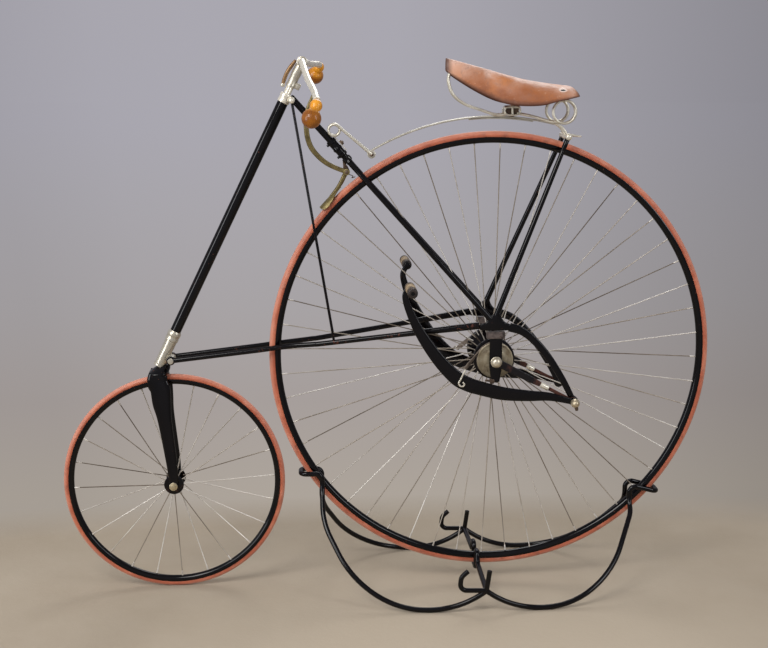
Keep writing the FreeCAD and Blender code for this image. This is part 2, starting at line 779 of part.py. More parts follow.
def lever():
    """Left foot lever: from its pivot low under the axle, up to the pedal."""
    y0 = -lever_half - lever_thick / 2.0
    y1 = -lever_half + lever_thick / 2.0
    fx = fulcrum_x
    fz = fulcrum_z
    # share of the reach ahead, share of the rise, width
    table = [
        (0.000, 0.000, 14.0),
        (0.147, 0.048, 22.0),
        (0.290, 0.061, 30.0),
        (0.438, 0.083, 36.0),
        (0.569, 0.130, 38.0),
        (0.646, 0.166, 39.5),
        (0.718, 0.224, 39.5),
        (0.821, 0.374, 34.5),
        (0.924, 0.583, 29.0),
        (0.991, 0.769, 22.0),
        (1.025, 0.915, 16.0),
        (1.004, 0.997, 12.0),
    ]
    centre = [(fx - ahead * pedal_ahead, fz + up * pedal_rise) for ahead, up, width in table]
    body = band(centre, [width for ahead, up, width in table], y0, y1)
    body = body.fuse(disc(fx, fz, y0, y1, 11.0))
    body = body.fuse(disc(pedal_x, pedal_z, y0, y1, 8.0))
    body = body.fuse(disc(pedal_x, pedal_z, y1, y1 - pedal_len, pin_r))
    return body.cut(disc(fx, fz, y0 - 2.0, y1 + 2.0, 6.0 + run_fit))


def pedal_caps():
    """Left pedal's two end caps."""
    outer = -lever_half + lever_thick / 2.0 - pedal_len
    inner = -lever_half - lever_thick / 2.0 - seat_gap
    body = disc(pedal_x, pedal_z, outer, outer + 8.0, pedal_r, pin_r + run_fit)
    return Part.makeCompound([body, disc(pedal_x, pedal_z, inner, inner - 6.0, pedal_r, pin_r + run_fit)])


def pedal_rubber():
    """Left pedal's rubber roller."""
    outer = -lever_half + lever_thick / 2.0 - pedal_len
    inner = -lever_half - lever_thick / 2.0 - seat_gap
    return disc(pedal_x, pedal_z, outer + 8.0, inner - 6.0, pedal_r + 0.8, pin_r + run_fit)


strap_thick = 4.0
strap_half = 6.0
hook_x = axle_x - 84.0
hook_z = axle_z - 22.0


def strap(end_x, end_z):
    """Leather strap, left side, from the wound turns to a hook's wire."""
    mid_r = drum_r + strap_thick + seat_gap + strap_thick / 2.0
    dx = end_x - axle_x
    dz = end_z - axle_z
    turn = math.atan2(dz, dx) - math.acos(mid_r / math.hypot(dx, dz))
    tx = axle_x + mid_r * math.cos(turn)
    tz = axle_z + mid_r * math.sin(turn)
    n = math.hypot(end_x - tx, end_z - tz)
    ux = (end_x - tx) / n
    uz = (end_z - tz) / n
    lx = end_x - ux * 2.8
    lz = end_z - uz * 2.8
    ends = []
    for x, z, y in ((tx, tz, -87.0), (lx, lz, -108.0)):
        nx = -uz * strap_thick / 2.0
        nz = ux * strap_thick / 2.0
        pts = [
            vec(x + nx, y - strap_half, z + nz),
            vec(x + nx, y + strap_half, z + nz),
            vec(x - nx, y + strap_half, z - nz),
            vec(x - nx, y - strap_half, z - nz),
        ]
        ends.append(Part.makePolygon(pts + [pts[0]]))
    return Part.makeLoft(ends, True, True)


def strap_wrap(side):
    """The part of the strap that is wound on the drum."""
    return disc(axle_x, axle_z, side * 80.5, side * 92.5, drum_r + strap_thick, drum_r)


def lever_hook():
    """Left wire hook from the strap's end over the lever's edge."""
    pts = [
        vec(hook_x, -101.0, hook_z),
        vec(hook_x - 2.0, -134.2, hook_z + 1.5),
        vec(hook_x - 20.0, -134.2, hook_z - 32.0),
        vec(hook_x - 4.0, -134.2, hook_z - 37.0),
    ]
    return bar(pts, 2.4, 8.0)


def raised(shape):
    """Turns a right-hand piece up to where the right lever rests."""
    turned = shape.copy()
    turned.rotate(vec(fulcrum_x, 0, fulcrum_z), vec(0, 1, 0), right_lever_raise)
    return turned


def raised_point(x, z):
    a = math.radians(right_lever_raise)
    dx = x - fulcrum_x
    dz = z - fulcrum_z
    return vec(fulcrum_x + dx * math.cos(a) + dz * math.sin(a), 0.0, fulcrum_z - dx * math.sin(a) + dz * math.cos(a))


# ---- steering ----------------------------------------------------------------------
def blade_section(x, half_x, y, half_y, z):
    """A fork blade's cross-section, flat sides with round ends."""
    flat = half_x - half_y
    a = vec(x - flat, y - half_y, z)
    b = vec(x + flat, y - half_y, z)
    c = vec(x + half_x, y, z)
    d = vec(x + flat, y + half_y, z)
    e = vec(x - flat, y + half_y, z)
    f = vec(x - half_x, y, z)
    edges = [Part.makeLine(a, b), Part.Arc(b, c, d).toShape()]
    edges += [Part.makeLine(d, e), Part.Arc(e, f, a).toShape()]
    return Part.Wire(edges)


def fork():
    """Fork: a swelling crown over the tyre and two flat tapering blades."""
    top = 2.0 * front_r + 6.0
    fx = front_x
    stations = [
        (fx - 36.0, 27.0, 31.0, 9.5, top),
        (fx - 36.5, 28.0, 32.0, 9.5, top - 26.0),
        (fx - 28.5, 27.0, 34.0, 9.5, front_r * 1.88),
        (fx - 26.0, 25.0, 37.0, 9.0, front_r * 1.75),
        (fx - 19.0, 18.0, 40.0, 8.0, front_r * 1.59),
        (fx - 2.0, 14.5, 44.5, 7.0, front_r * 1.16),
        (fx, 13.0, 46.0, 6.5, front_r),
    ]
    body = None
    for side in (-1.0, 1.0):
        wires = [blade_section(x, hx, side * y, hy, z) for x, hx, y, hy, z in stations]
        blade = Part.makeLoft(wires, True, True)
        blade = blade.fuse(disc(fx, front_r, side * 39.5, side * 52.5, 13.0))
        body = blade if body is None else body.fuse(blade)
    crown = Part.makeLoft([
        blade_section(fx - 36.0, 41.0 - 14.0, 0.0, 26.9, top - 1.0),
        blade_section(fx - 33.0, 24.0, 0.0, 23.9, top + 10.0),
        blade_section(fx - 28.0, 18.0, 0.0, 17.9, top + 17.0),
    ], True, True)
    saddle = Part.makeBox(56.0, 82.0, 8.0, vec(fx - 64.0, -41.0, top - 4.0))
    body = body.fuse(crown).fuse(saddle)
    body = body.cut(tyre_room())
    body = body.cut(rod(steer(lug_low - 0.3), steer(lug_low + 40.0), 40.0))
    return body.cut(disc(fx, front_r, -80.0, 80.0, 5.0))


def tyre_room():
    """The space the front tyre turns in, inside the fork."""
    return disc(front_x, front_r, -20.0, 20.0, front_r + 5.0)


def steering_rod():
    """Rod through the front tube, from the fork crown to the stem."""
    low = lug_low - 0.3
    return rod(steer(low), steer(stem_top - 22.0), steer_r)


def front_axle():
    body = disc(front_x, front_r, -58.0, 58.0, 5.0)
    for side in (-1.0, 1.0):
        body = body.fuse(disc(front_x, front_r, side * 52.8, side * 62.0, 11.0))
    return body


def stem():
    """Bright socket that clamps the rod and carries the handlebar."""
    body = rod(steer(stem_top - stem_grip), steer(stem_top), 13.0)
    body = body.fuse(rod(vec_off(steer(stem_top), -17.0), vec_off(steer(stem_top), 17.0), 14.0))
    body = body.cut(rod(steer(head_top + 20.0), steer(stem_top - 22.0), steer_r))
    return body.cut(rod(vec_off(steer(stem_top), -30.0), vec_off(steer(stem_top), 30.0), 8.5))


def vec_off(p, y):
    return vec(p.x, p.y + y, p.z)


def bar_point(side, x, y, z):
    """A handlebar point; past the clamp the whole bar slants down and forward to the left."""
    c = steer(stem_top)
    past = max(0.0, y - bar_straight)
    slant = math.tan(math.radians(bar_roll_deg)) * past
    skew = math.tan(math.radians(bar_skew_deg)) * past
    return vec(c.x + x + side * skew, side * y, c.z + z + side * slant)


def bar_points(side):
    return [
        bar_point(side, 0.0, bar_straight, 0.0),
        bar_point(side, 18.0, 150.0, -26.0),
        bar_point(side, 37.0, bar_half - 85.0, -42.0),
        bar_point(side, 42.0, bar_half - 38.0, -52.0),
    ]


def handlebar():
    left = bar_points(-1.0)
    right = bar_points(1.0)
    return bar(left[::-1] + right, bar_r, 45.0)


def grip(side):
    """Turned wooden pear grip on one end of the bar."""
    neck = bar_point(side, 40.0, bar_half - 26.0, -61.0)
    ball = bar_point(side, 29.0, bar_half - 6.0, -88.0)
    before, end = bar_points(side)[-2:]
    body = Part.makeSphere(15.5, neck)
    body = body.fuse(Part.makeSphere(24.0, ball))
    body = body.fuse(taper(neck, ball, 14.0, 20.0))
    return body.cut(rod(before, end, bar_r + seat_gap))


def signal_lever():
    """Short brass lever on the front of the stem."""
    c = steer(stem_top)
    centre = [
        (c.x - 18.6, c.z + 1.0),
        (c.x - 28.0, c.z - 11.0),
        (c.x - 39.0, c.z - 27.0),
        (c.x - 46.5, c.z - 44.0),
        (c.x - 51.5, c.z - 62.0),
    ]
    return band(centre, [8.0, 11.0, 11.0, 10.0, 8.0], -6.0, 6.0)


def main_shapes():
    shapes = {}
    rim_in = rim_inner(drive_r, drive_tyre_r, drive_rim_r)
    front_in = rim_inner(front_r, front_tyre_r, front_rim_r)
    shapes["drive_tyre"] = tyre(axle_x, axle_z, drive_r, drive_tyre_r)
    shapes["drive_rim"] = rim(axle_x, axle_z, drive_r, drive_tyre_r, drive_rim_r)
    shapes["drive_spokes"] = spokes(axle_x, axle_z, 56, 47.0, 59.5, rim_in - 0.3, 1.2, 60.0)
    shapes["drive_hub"] = drive_hub()
    shapes["front_tyre"] = tyre(front_x, front_r, front_r, front_tyre_r)
    shapes["front_rim"] = rim(front_x, front_r, front_r, front_tyre_r, front_rim_r)
    shapes["front_spokes"] = spokes(front_x, front_r, 24, 22.0, 33.5, front_in - 0.3, 1.2, 40.0)
    shapes["front_hub"] = front_hub()
    shapes["drum_left"] = drum(-1.0)
    shapes["drum_right"] = drum(1.0)
    shapes["front_tube"] = front_tube()
    shapes["head_lug"] = Part.makeCompound([head_lug()] + lug_bolt_heads())
    shapes["top_joint"] = top_joint()
    shapes["backbone"] = backbone().fuse(crotch())
    shapes["clamp_sleeve"] = clamp_sleeve()
    shapes["branches"] = pair(branch())
    shapes["lower_tubes"] = pair(lower_tube())
    shapes["head_braces"] = pair(head_brace())
    shapes["gussets"] = pair(gusset())
    shapes["hangers"] = pair(hanger())
    shapes["hanger_blocks"] = pair(hanger_block())
    shapes["rear_arches"] = pair(rear_arch())
    shapes["radius_links"] = pair(radius_link())
    shapes["pivot_pins"] = pair(pivot_pin())
    shapes["seat_stays"] = pair(seat_stay())
    shapes["axle"] = axle()
    shapes["axle_caps"] = pair(axle_cap())
    shapes["leaf_spring"] = leaf_spring()
    shapes["stay_bracket"] = stay_bracket()
    shapes["front_link"] = front_link()
    shapes["saddle_clamp"] = saddle_clamp()
    shapes["saddle_wires"] = saddle_wires()
    shapes["saddle_leather"] = saddle_leather()
    shapes["brake_bracket"] = brake_bracket()
    shapes["brake_lever"] = brake_lever()
    shapes["brake_spoon"] = brake_spoon()
    side = stand_side()
    shapes["stand_left"] = side
    shapes["stand_right"] = other_side(side)
    shapes["stand_front_loop"] = stand_loop(-1.0)
    shapes["stand_rear_loop"] = stand_loop(1.0)
    shapes["stand_crossbar"] = stand_crossbar()
    lever_pieces(shapes)
    steering_pieces(shapes)
    return shapes


def pair(left):
    """A left-hand piece and its mirror image on the right."""
    return Part.makeCompound([left, other_side(left)])


def lever_pieces(shapes):
    for name, left in (("lever", lever()), ("pedal_caps", pedal_caps()), ("pedal_rubber", pedal_rubber())):
        shapes[name + "_left"] = left
        shapes[name + "_right"] = raised(other_side(left))
    shapes["strap_left"] = strap(hook_x, hook_z)
    high = raised_point(hook_x, hook_z)
    shapes["strap_right"] = other_side(strap(high.x, high.z))
    shapes["strap_hook_left"] = lever_hook()
    shapes["strap_hook_right"] = raised(other_side(lever_hook()))
    shapes["strap_wrap_left"] = strap_wrap(-1.0)
    shapes["strap_wrap_right"] = strap_wrap(1.0)


def steering_pieces(shapes):
    shapes["fork"] = fork()
    shapes["steering_rod"] = steering_rod()
    shapes["front_axle"] = front_axle()
    shapes["stem"] = stem()
    shapes["handlebar"] = handlebar()
    shapes["grips"] = Part.makeCompound([grip(-1.0), grip(1.0)])
    shapes["signal_lever"] = signal_lever()


def save_all():
    os.makedirs("parts", exist_ok=True)
    for name, shape in main_shapes().items():
        shape.exportStep("parts/" + name + ".step")


save_all()
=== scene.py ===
import json

import bmesh
import bpy
import numpy as np
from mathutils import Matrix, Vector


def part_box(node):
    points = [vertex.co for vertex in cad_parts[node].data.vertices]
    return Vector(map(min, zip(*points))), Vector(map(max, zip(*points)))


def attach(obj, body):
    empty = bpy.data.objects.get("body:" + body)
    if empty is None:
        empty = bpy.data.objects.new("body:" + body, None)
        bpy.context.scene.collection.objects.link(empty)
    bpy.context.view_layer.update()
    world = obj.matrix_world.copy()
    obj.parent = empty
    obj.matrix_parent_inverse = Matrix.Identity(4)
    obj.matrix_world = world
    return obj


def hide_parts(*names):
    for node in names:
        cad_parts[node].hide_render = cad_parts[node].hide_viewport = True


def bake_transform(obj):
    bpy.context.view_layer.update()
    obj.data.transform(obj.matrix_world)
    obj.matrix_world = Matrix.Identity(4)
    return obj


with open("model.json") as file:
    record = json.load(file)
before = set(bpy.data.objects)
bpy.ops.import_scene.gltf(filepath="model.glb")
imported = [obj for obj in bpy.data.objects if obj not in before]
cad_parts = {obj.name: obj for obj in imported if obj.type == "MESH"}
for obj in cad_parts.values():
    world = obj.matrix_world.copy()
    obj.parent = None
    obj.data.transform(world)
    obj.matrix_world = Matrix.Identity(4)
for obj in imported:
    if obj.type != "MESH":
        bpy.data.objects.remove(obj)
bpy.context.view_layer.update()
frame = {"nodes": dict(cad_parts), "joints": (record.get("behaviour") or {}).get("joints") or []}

# ---- front tube ----
# The long front tube of the frame: drawn steel, stove-enamelled black over red
# lead, which shows brown where the paint has chipped. The steering rod turns in
# it; its foot is brazed into the bright lug and its head into the top collar.
mm = 0.001
joint_at = {joint["name"]: np.array(joint["pos_m"]) for joint in frame["joints"]}
steering = next(joint for joint in frame["joints"] if joint["name"] == "steering_turn")
steer_up = np.array(steering["axis"])
steer_back = np.array([steer_up[2], 0, -steer_up[0]])
across = np.array([0, 1, 0])


def mms(*numbers):
    """Numbers or rows of numbers in millimetres, as an array in metres."""
    return mm * np.array(numbers)


def unit(v):
    """Each vector divided by its length."""
    return v / np.linalg.norm(v, axis=-1, keepdims=True)


def span(node, origin, axis):
    """How far a solid reaches along a line: the least and the most of corner minus origin,
    measured along the axis."""
    mesh = frame["nodes"][node].data
    flat = np.empty(3 * len(mesh.vertices))
    mesh.vertices.foreach_get("co", flat)
    reach = (flat.reshape(-1, 3) - origin) @ axis
    return reach.min(), reach.max()


def on_steer(rise, back=0, side=0):
    """A point that far up the steering axis, set back from it and to one side."""
    return joint_at["steering_turn"] + rise * steer_up + back * steer_back + side * across


def turned(start, axis, profile, sides=48):
    """A turned piece: each (distance, radius) of the profile goes round the axis, at start +
    axis * distance + radius * (cos t, sin t)."""
    profile = np.asarray(profile, float)
    axis = unit(np.asarray(axis, float))
    spare = np.array([0, 0, 1]) if abs(axis[2]) < 0.95 else np.array([1, 0, 0])
    flat = unit(np.cross(axis, spare))
    turn = np.linspace(0, 2 * np.pi, sides + 1)[:, None]
    ring = flat * np.cos(turn) + np.cross(axis, flat) * np.sin(turn)
    return start + axis * profile[:, 0, None, None] + ring * profile[:, 1, None, None]


def piece(name, finish, grids, body="frame", stands_for=None, tone=None):
    """One mesh from grids of points, (..., rows, columns, 3): a face between each four
    neighbours, with seams and poles merged, faces outward and edges sharper than 40 degrees
    left sharp. It stands for the solid of its own name, where there is one."""
    corners, quads, count = [], [], 0
    for grid in grids:
        rows, columns = grid.shape[-3:-1]
        stack = grid.reshape(-1, rows, columns, 3)
        copy = np.arange(len(stack))[:, None, None] * rows * columns
        first = count + copy + np.arange(rows - 1)[:, None] * columns + np.arange(columns - 1)
        face = np.stack([first, first + 1, first + columns + 1, first + columns], -1)
        quads.append(face.reshape(-1, 4))
        corners.append(stack.reshape(-1, 3))
        count += rows * columns * len(stack)
    mesh = bpy.data.meshes.new(name)
    mesh.from_pydata(np.concatenate(corners).tolist(), [], np.concatenate(quads).tolist())
    if tone is not None:
        layer = mesh.attributes.new("tone", "FLOAT", "POINT")
        layer.data.foreach_set("value", np.asarray(tone, np.float32).ravel())
    shell = bmesh.new()
    shell.from_mesh(mesh)
    bmesh.ops.remove_doubles(shell, verts=shell.verts, dist=2e-6)
    bmesh.ops.recalc_face_normals(shell, faces=shell.faces)
    shell.to_mesh(mesh)
    shell.free()
    mesh.shade_smooth()
    mesh.set_sharp_from_angle(angle=np.radians(40))
    mesh.materials.append(finish.material)
    made = bpy.data.objects.new(name, mesh)
    bpy.context.scene.collection.objects.link(made)
    if body is not None:
        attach(made, body)
    solid = stands_for or name
    if solid in frame["nodes"]:
        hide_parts(solid)
    return made


class Finish:
    """A surface finish: patterns laid on the piece's own coordinates, in metres, and led to
    the shader. The slot is the name of its paint or metal in the record."""

    def __init__(self, name, slot, **constants):
        self.slot = slot
        self.material = bpy.data.materials.new(name)
        self.material.use_nodes = True
        self.nodes = self.material.node_tree.nodes
        self.links = self.material.node_tree.links
        self.shader = self.nodes["Principled BSDF"]
        self.place = self.node("TexCoord").outputs["Object"]
        for socket, value in constants.items():
            self.shader.inputs[socket.replace("_", " ")].default_value = value

    def set(self, socket, value):
        """Leads an output to the socket, or sets a plain number, place or colour on it."""
        if isinstance(value, bpy.types.NodeSocket):
            self.links.new(value, socket)
        elif isinstance(value, tuple) and socket.type == "RGBA":
            socket.default_value = (*value, 1)
        else:
            socket.default_value = value

    def node(self, kind, sockets=None, **settings):
        """A new node: first its settings, then its sockets by name or number."""
        node = self.nodes.new("ShaderNode" + kind)
        for setting, value in settings.items():
            setattr(node, setting, value)
        for socket, value in (sockets or {}).items():
            self.set(node.inputs[socket], value)
        return node

    def noise(self, per_metre, detail=5, rough=0.6, stretch=(1, 1, 1), warp=0):
        """A cloudy pattern, 0 to 1, with that many clouds to the metre."""
        place = self.node("Mapping", {"Vector": self.place, "Scale": stretch}).outputs[0]
        cloud = self.node("TexNoise", {"Vector": place, "Scale": per_metre, "Detail": detail,
            "Roughness": rough, "Distortion": warp})
        return cloud.outputs["Fac"]

    def ramp(self, factor, *stops):
        """A colour, or a grey from one number, for each stop along the factor. A number or a
        tuple in the factor's place is a noise with those values."""
        if isinstance(factor, tuple):
            factor = self.noise(*factor)
        elif not isinstance(factor, bpy.types.NodeSocket):
            factor = self.noise(factor)
        node = self.node("ValToRGB", {"Fac": factor})
        elements = node.color_ramp.elements
        for position, value in stops[2:]:
            elements.new(position)
        for element, (position, value) in zip(elements, stops):
            element.position = position
            element.color = (*(value if isinstance(value, tuple) else (value,) * 3), 1)
        return node.outputs["Color"]

    def math(self, work, a, b):
        """One number worked out from two, such as their product or the larger of them."""
        return self.node("Math", {0: a, 1: b}, operation=work).outputs["Value"]

    def mix(self, factor, a, b):
        """The colour a where the factor is 0, b where it is 1, and a blend between."""
        return self.node("Mix", {0: factor, 6: a, 7: b}, data_type="RGBA").outputs[2]

    def vector(self, work, a, b):
        """Two places or two colours, worked out one axis or channel at a time."""
        return self.node("VectorMath", {0: a, 1: b}, operation=work).outputs["Vector"]

    def attribute(self, name):
        """The number that the piece carries at each of its points under that name."""
        return self.node("Attribute", attribute_name=name).outputs["Fac"]

    def spot(self, centre, size):
        """0 at the centre, growing to 1 at that many metres along each axis."""
        share = self.vector("DIVIDE", self.vector("SUBTRACT", self.place, centre), size)
        return self.node("VectorMath", {0: share}, operation="LENGTH").outputs["Value"]

    def finish(self, colour, roughness, height=None, depth=0.0002):
        """Leads the colour, the roughness and a height map of that depth in metres to the
        shader."""
        self.set(self.shader.inputs["Base Color"], colour)
        self.set(self.shader.inputs["Roughness"], roughness)
        if height is not None:
            bump = self.node("Bump", {"Distance": depth, "Height": height})
            self.set(self.shader.inputs["Normal"], bump.outputs["Normal"])
        return self


def enamel(name, wear):
    """Old black stove enamel over red lead; more wear lowers the threshold of the chips."""
    paint = Finish(name, "black_enamel", Specular_IOR_Level=0, Coat_Weight=0.55,
        Coat_Roughness=0.08)
    black = paint.ramp(14, (0.3, (0.0008, 0.0007, 0.0012)), (0.75, (0.003, 0.0022, 0.0024)))
    patch = paint.ramp((9, 3), (0.54, 0), (0.62, 1))
    flake = paint.ramp((120, 4), (0.66 - wear, 0), (0.69 - wear, 1))
    chipped = paint.math("MULTIPLY", patch, flake)
    bare = paint.ramp(300, (0.35, (0.03, 0.014, 0.01)), (0.7, (0.15, 0.045, 0.026)))
    gloss = paint.ramp(40, (0.3, 0.16), (0.75, 0.34))
    rough = paint.mix(chipped, gloss, (0.8, 0.8, 0.8))
    grain = paint.math("SUBTRACT", paint.math("MULTIPLY", paint.noise(45), 0.4), chipped)
    return paint.finish(paint.mix(chipped, black, bare), rough, grain, 0.00008)


black_enamel = enamel("black_enamel", 0)
worn_enamel = enamel("worn_black_enamel", 0.075)

tube_low, tube_high = span("front_tube", on_steer(0), steer_up)
tube_long = tube_high - tube_low
tube_profile = mms((0, 0), (0, 14.2), (2, 14.5), (40, 14.5), (500, 14.5),
    (tube_long / mm - 2, 14.5))
tube_profile = np.vstack([tube_profile, [(tube_long, 14.2 * mm), (tube_long, 0)]])
piece("front_tube", black_enamel, [turned(on_steer(tube_low), steer_up, tube_profile)])


# ---- bright head lug and top collar ----
# Two nickel-plated castings at the ends of the front tube. The lug has stepped
# rings and a crosswise ear for the lower tubes' bolt; the collar at the top has
# a smaller ear, whose ball-headed bolt holds the backbone and two thin rods.
def plated(name, bright, dull, tarnish, spread, gloss=(0.26, 0.46), metal=0.72, slot="nickel"):
    """Old nickel plate on steel: bright and dull clouds, with brown tarnish over more of it as
    the spread grows."""
    plate = Finish(name, slot, Metallic=metal)
    clouds = plate.ramp((30, 5), (0.32, dull), (0.66, bright))
    stain = plate.ramp((70, 6, 0.65), (0.62 - spread, 0), (0.78 - spread * 0.6, 1))
    rough = plate.ramp(55, (0.3, gloss[0]), (0.8, gloss[1]))
    return plate.finish(plate.mix(stain, clouds, tarnish), rough, stain, 0.00001)


nickel = plated("aged_nickel", (0.6, 0.565, 0.475), (0.5, 0.46, 0.37), (0.2, 0.14, 0.08), 0.02)
bright_nickel = plated("bright_nickel", (0.8, 0.755, 0.645), (0.66, 0.61, 0.5), (0.36, 0.29, 0.2),
    -0.08, (0.24, 0.38), 0.45)
brown_iron = plated("brown_iron", (0.13, 0.085, 0.055), (0.06, 0.036, 0.024),
    (0.035, 0.018, 0.012), 0, (0.45, 0.7), 0.4, "steel")


def both(grid):
    """The piece on the rider's left and its mirror image on the right."""
    return np.stack([grid, grid * [1, -1, 1]])


def mill(start, axis, steps, sides=48):
    """A turned piece from (distance, radius) steps in millimetres, closed at both ends."""
    steps = np.array(steps, float) * mm
    closed = np.vstack([(steps[0, 0], 0), steps, (steps[-1, 0], 0)])
    return turned(start, axis, closed, sides)


def two_ways(half):
    """Steps from one end to near the middle, and the same again, mirrored, to the other end."""
    return [*half, *[(-distance, radius) for distance, radius in half[::-1]]]


def ball(centre, radius, sides=32):
    """A sphere: the half circle (-cos t, sin t) * radius turned about the crosswise axis."""
    t = np.linspace(0, np.pi, sides // 2 + 1)
    return turned(centre, across, np.stack([-np.cos(t), np.sin(t)], -1) * radius, sides)


lug_low = span("head_lug", on_steer(0), steer_up)[0]
lug_rings = [(0, 16), (1, 17.4), (6, 17.4), (7.5, 16), (52, 15.8), (60, 16.4), (78, 16.5),
    (79.5, 18.2), (86, 18.4), (88, 17.2), (92, 17.2), (93.5, 18.4), (103, 18.2), (105, 16.6),
    (107.5, 15.4)]
lug_bolt_rise, lug_bolt_back = lug_low + 32 * mm, 22 * mm
lug_ear = on_steer(lug_bolt_rise, lug_bolt_back)
lug_web = [on_steer(lug_bolt_rise, 6 * mm), lug_ear]
barrel = two_ways([(-20, 8.5), (-19.2, 10.2), (-15, 11), (-13.6, 9.8)])
lug_bolt = [(32.2, 8), (36, 8.2), (37.6, 7), (38, 4.4), (38, 2)]
collar_rings = [(0.3, 15.6), (2, 16.4), (8, 16.4), (9.5, 15.4), (16, 15.4), (17.5, 16.4),
    (23, 16.4), (25.8, 14.6)]


def squared(turn, power):
    """The cosine and the sine of the turn, each raised to the power with its sign kept."""
    c, s = np.cos(turn), np.sin(turn)
    return np.sign(c) * np.abs(c) ** power, np.sign(s) * np.abs(s) ** power


def swept(line, wide, thick=None, side_way=across, square=2, sides=24, dome=0):
    """A bar along a line of points. Its section is a superellipse: half the width times
    |cos t| to the power 2 / square one way, half the thickness times |sin t| to that power
    along side_way. Each end closes to the middle in a dome that high."""
    line = np.asarray(line, float)
    wide = np.broadcast_to(wide, len(line))[:, None, None]
    thick = wide if thick is None else np.broadcast_to(thick, len(line))[:, None, None]
    ahead = unit(np.gradient(line, axis=0))
    flat = unit(np.cross(ahead, side_way))
    turn = np.linspace(0, 2 * np.pi, sides + 1)[:, None]
    c, s = squared(turn, 2 / square)
    ring = flat[:, None] * wide / 2 * c + np.cross(flat, ahead)[:, None] * thick / 2 * s
    rise = np.radians([90, 70, 45, 22] if dome else [90])[:, None, None]
    start = line[0] - ahead[0] * dome * np.sin(rise) + ring[0] * np.cos(rise)
    end = line[-1] + ahead[-1] * dome * np.sin(rise[::-1]) + ring[-1] * np.cos(rise[::-1])
    return np.concatenate([start, line[:, None] + ring, end])


piece("head_lug", nickel, [mill(on_steer(lug_low), steer_up, lug_rings),
    mill(lug_ear, across, barrel), swept(lug_web, 17 * mm, 26 * mm, square=3),
    both(mill(lug_ear, -across, lug_bolt, 24))])

head_top = tube_high
bolt_at = on_steer(head_top + 16 * mm, 18 * mm)
collar_ear = two_ways([(-16, 7.4), (-15.2, 8.8), (-8, 9)])
collar_web = [on_steer(head_top + 14 * mm, 6 * mm), bolt_at]
piece("top_collar", bright_nickel, [mill(on_steer(head_top), steer_up, collar_rings),
    mill(bolt_at, across, collar_ear), swept(collar_web, 15 * mm, 22 * mm, square=3),
    both(ball(bolt_at - 30.5 * mm * across, 8.6 * mm))], stands_for="top_joint")


# ---- backbone ----
# The tube that runs down and back from the top collar. A short forged yoke parts
# it into two branches that pass the driving tyre and end in the side plates.
# All of it is black; a ringed sleeve is clamped round it above the yoke.
drive_axle = joint_at["drive_wheel_spin"]
side_plate = drive_axle + mms(-5, 0, 112)
stay_half = 107 * mm
bone_top = on_steer(head_top + 16 * mm, 30 * mm)
bone_foot = side_plate - mms(8, 0, 0)
bone_way = unit(bone_foot - bone_top)
bone_over = np.array([-bone_way[2], 0, bone_way[0]])
sleeve_low, sleeve_high = span("clamp_sleeve", bone_top, bone_way)
split_at = sleeve_high + 6 * mm


def on_bone(distance, side=0, over=0):
    """A point that far down the backbone, to one side and square above it."""
    return bone_top + distance * bone_way + side * across + over * bone_over


def on_yoke(distance, side=0, over=0):
    """The same, in millimetres from the place where the yoke begins."""
    return on_bone(split_at + distance * mm, side * mm, over * mm)


def run(points, rows):
    """A smooth line through the points: a Catmull-Rom cubic between each two, in even steps."""
    p = np.asarray(points, float)
    p = np.vstack([2 * p[0] - p[1], p, 2 * p[-1] - p[-2]])
    t = np.linspace(0, len(p) - 3, rows)
    i = np.minimum(t.astype(int), len(p) - 4)
    f = (t - i)[:, None]
    a, b, c, d = p[i], p[i + 1], p[i + 2], p[i + 3]
    square = 2 * a - 5 * b + 4 * c - d
    cube = 3 * b - 3 * c + d - a
    return 0.5 * (2 * b + (c - a) * f + square * f**2 + cube * f**3)


def shares(count, at, values):
    """Values in millimetres at shares of a line of that many points, in metres at each point."""
    return np.interp(np.linspace(0, 1, count), at, mms(*values))


yoke_steps = [(-1, 9), (0, 11.6), (3, 12.6), (10, 12.6), (14, 11.4), (16, 7)]
bone_steps = [(-20, 5.6), (-18.5, 8), (-16, 9), *[(split_at / mm + d, r) for d, r in yoke_steps]]
fork_line = run([on_yoke(5, -6), on_yoke(12, -13), on_yoke(18.3, -16)], 8)
piece("backbone", black_enamel, [mill(bone_top, bone_way, bone_steps),
    both(swept(fork_line, 17.4 * mm))])

branch_line = np.concatenate([run([on_yoke(18.6, -16), on_yoke(44, -22.6), on_yoke(66, -29.4),
    on_yoke(92, -36.5)], 18), run([on_yoke(100, -38.2), bone_foot - 5 * mm * bone_way - stay_half
    * across], 2)])
branch_wide = shares(len(branch_line), [0, 0.5, 1], [16, 15, 15.6])
piece("branches", worn_enamel, [both(swept(branch_line, branch_wide))])

sleeve = [(0, 10.4), (1, 12.4), (5, 13.2), (11, 13.2), (12.5, 11.6), (27, 11.6), (28.5, 12.8),
    (34, 12.8), (35.5, 11.4), (46, 11.4), (47.5, 13), (53, 13), (55, 12), (56, 10)]
sleeve_screws = [mill(on_bone(sleeve_low + d * mm, 0, -12 * mm), -bone_over,
    [(0, 3.4), (4.5, 3.4), (5.2, 2.4)], 16) for d in (8, 50)]
piece("clamp_sleeve", black_enamel, [mill(on_bone(sleeve_low), bone_way, sleeve), *sleeve_screws])


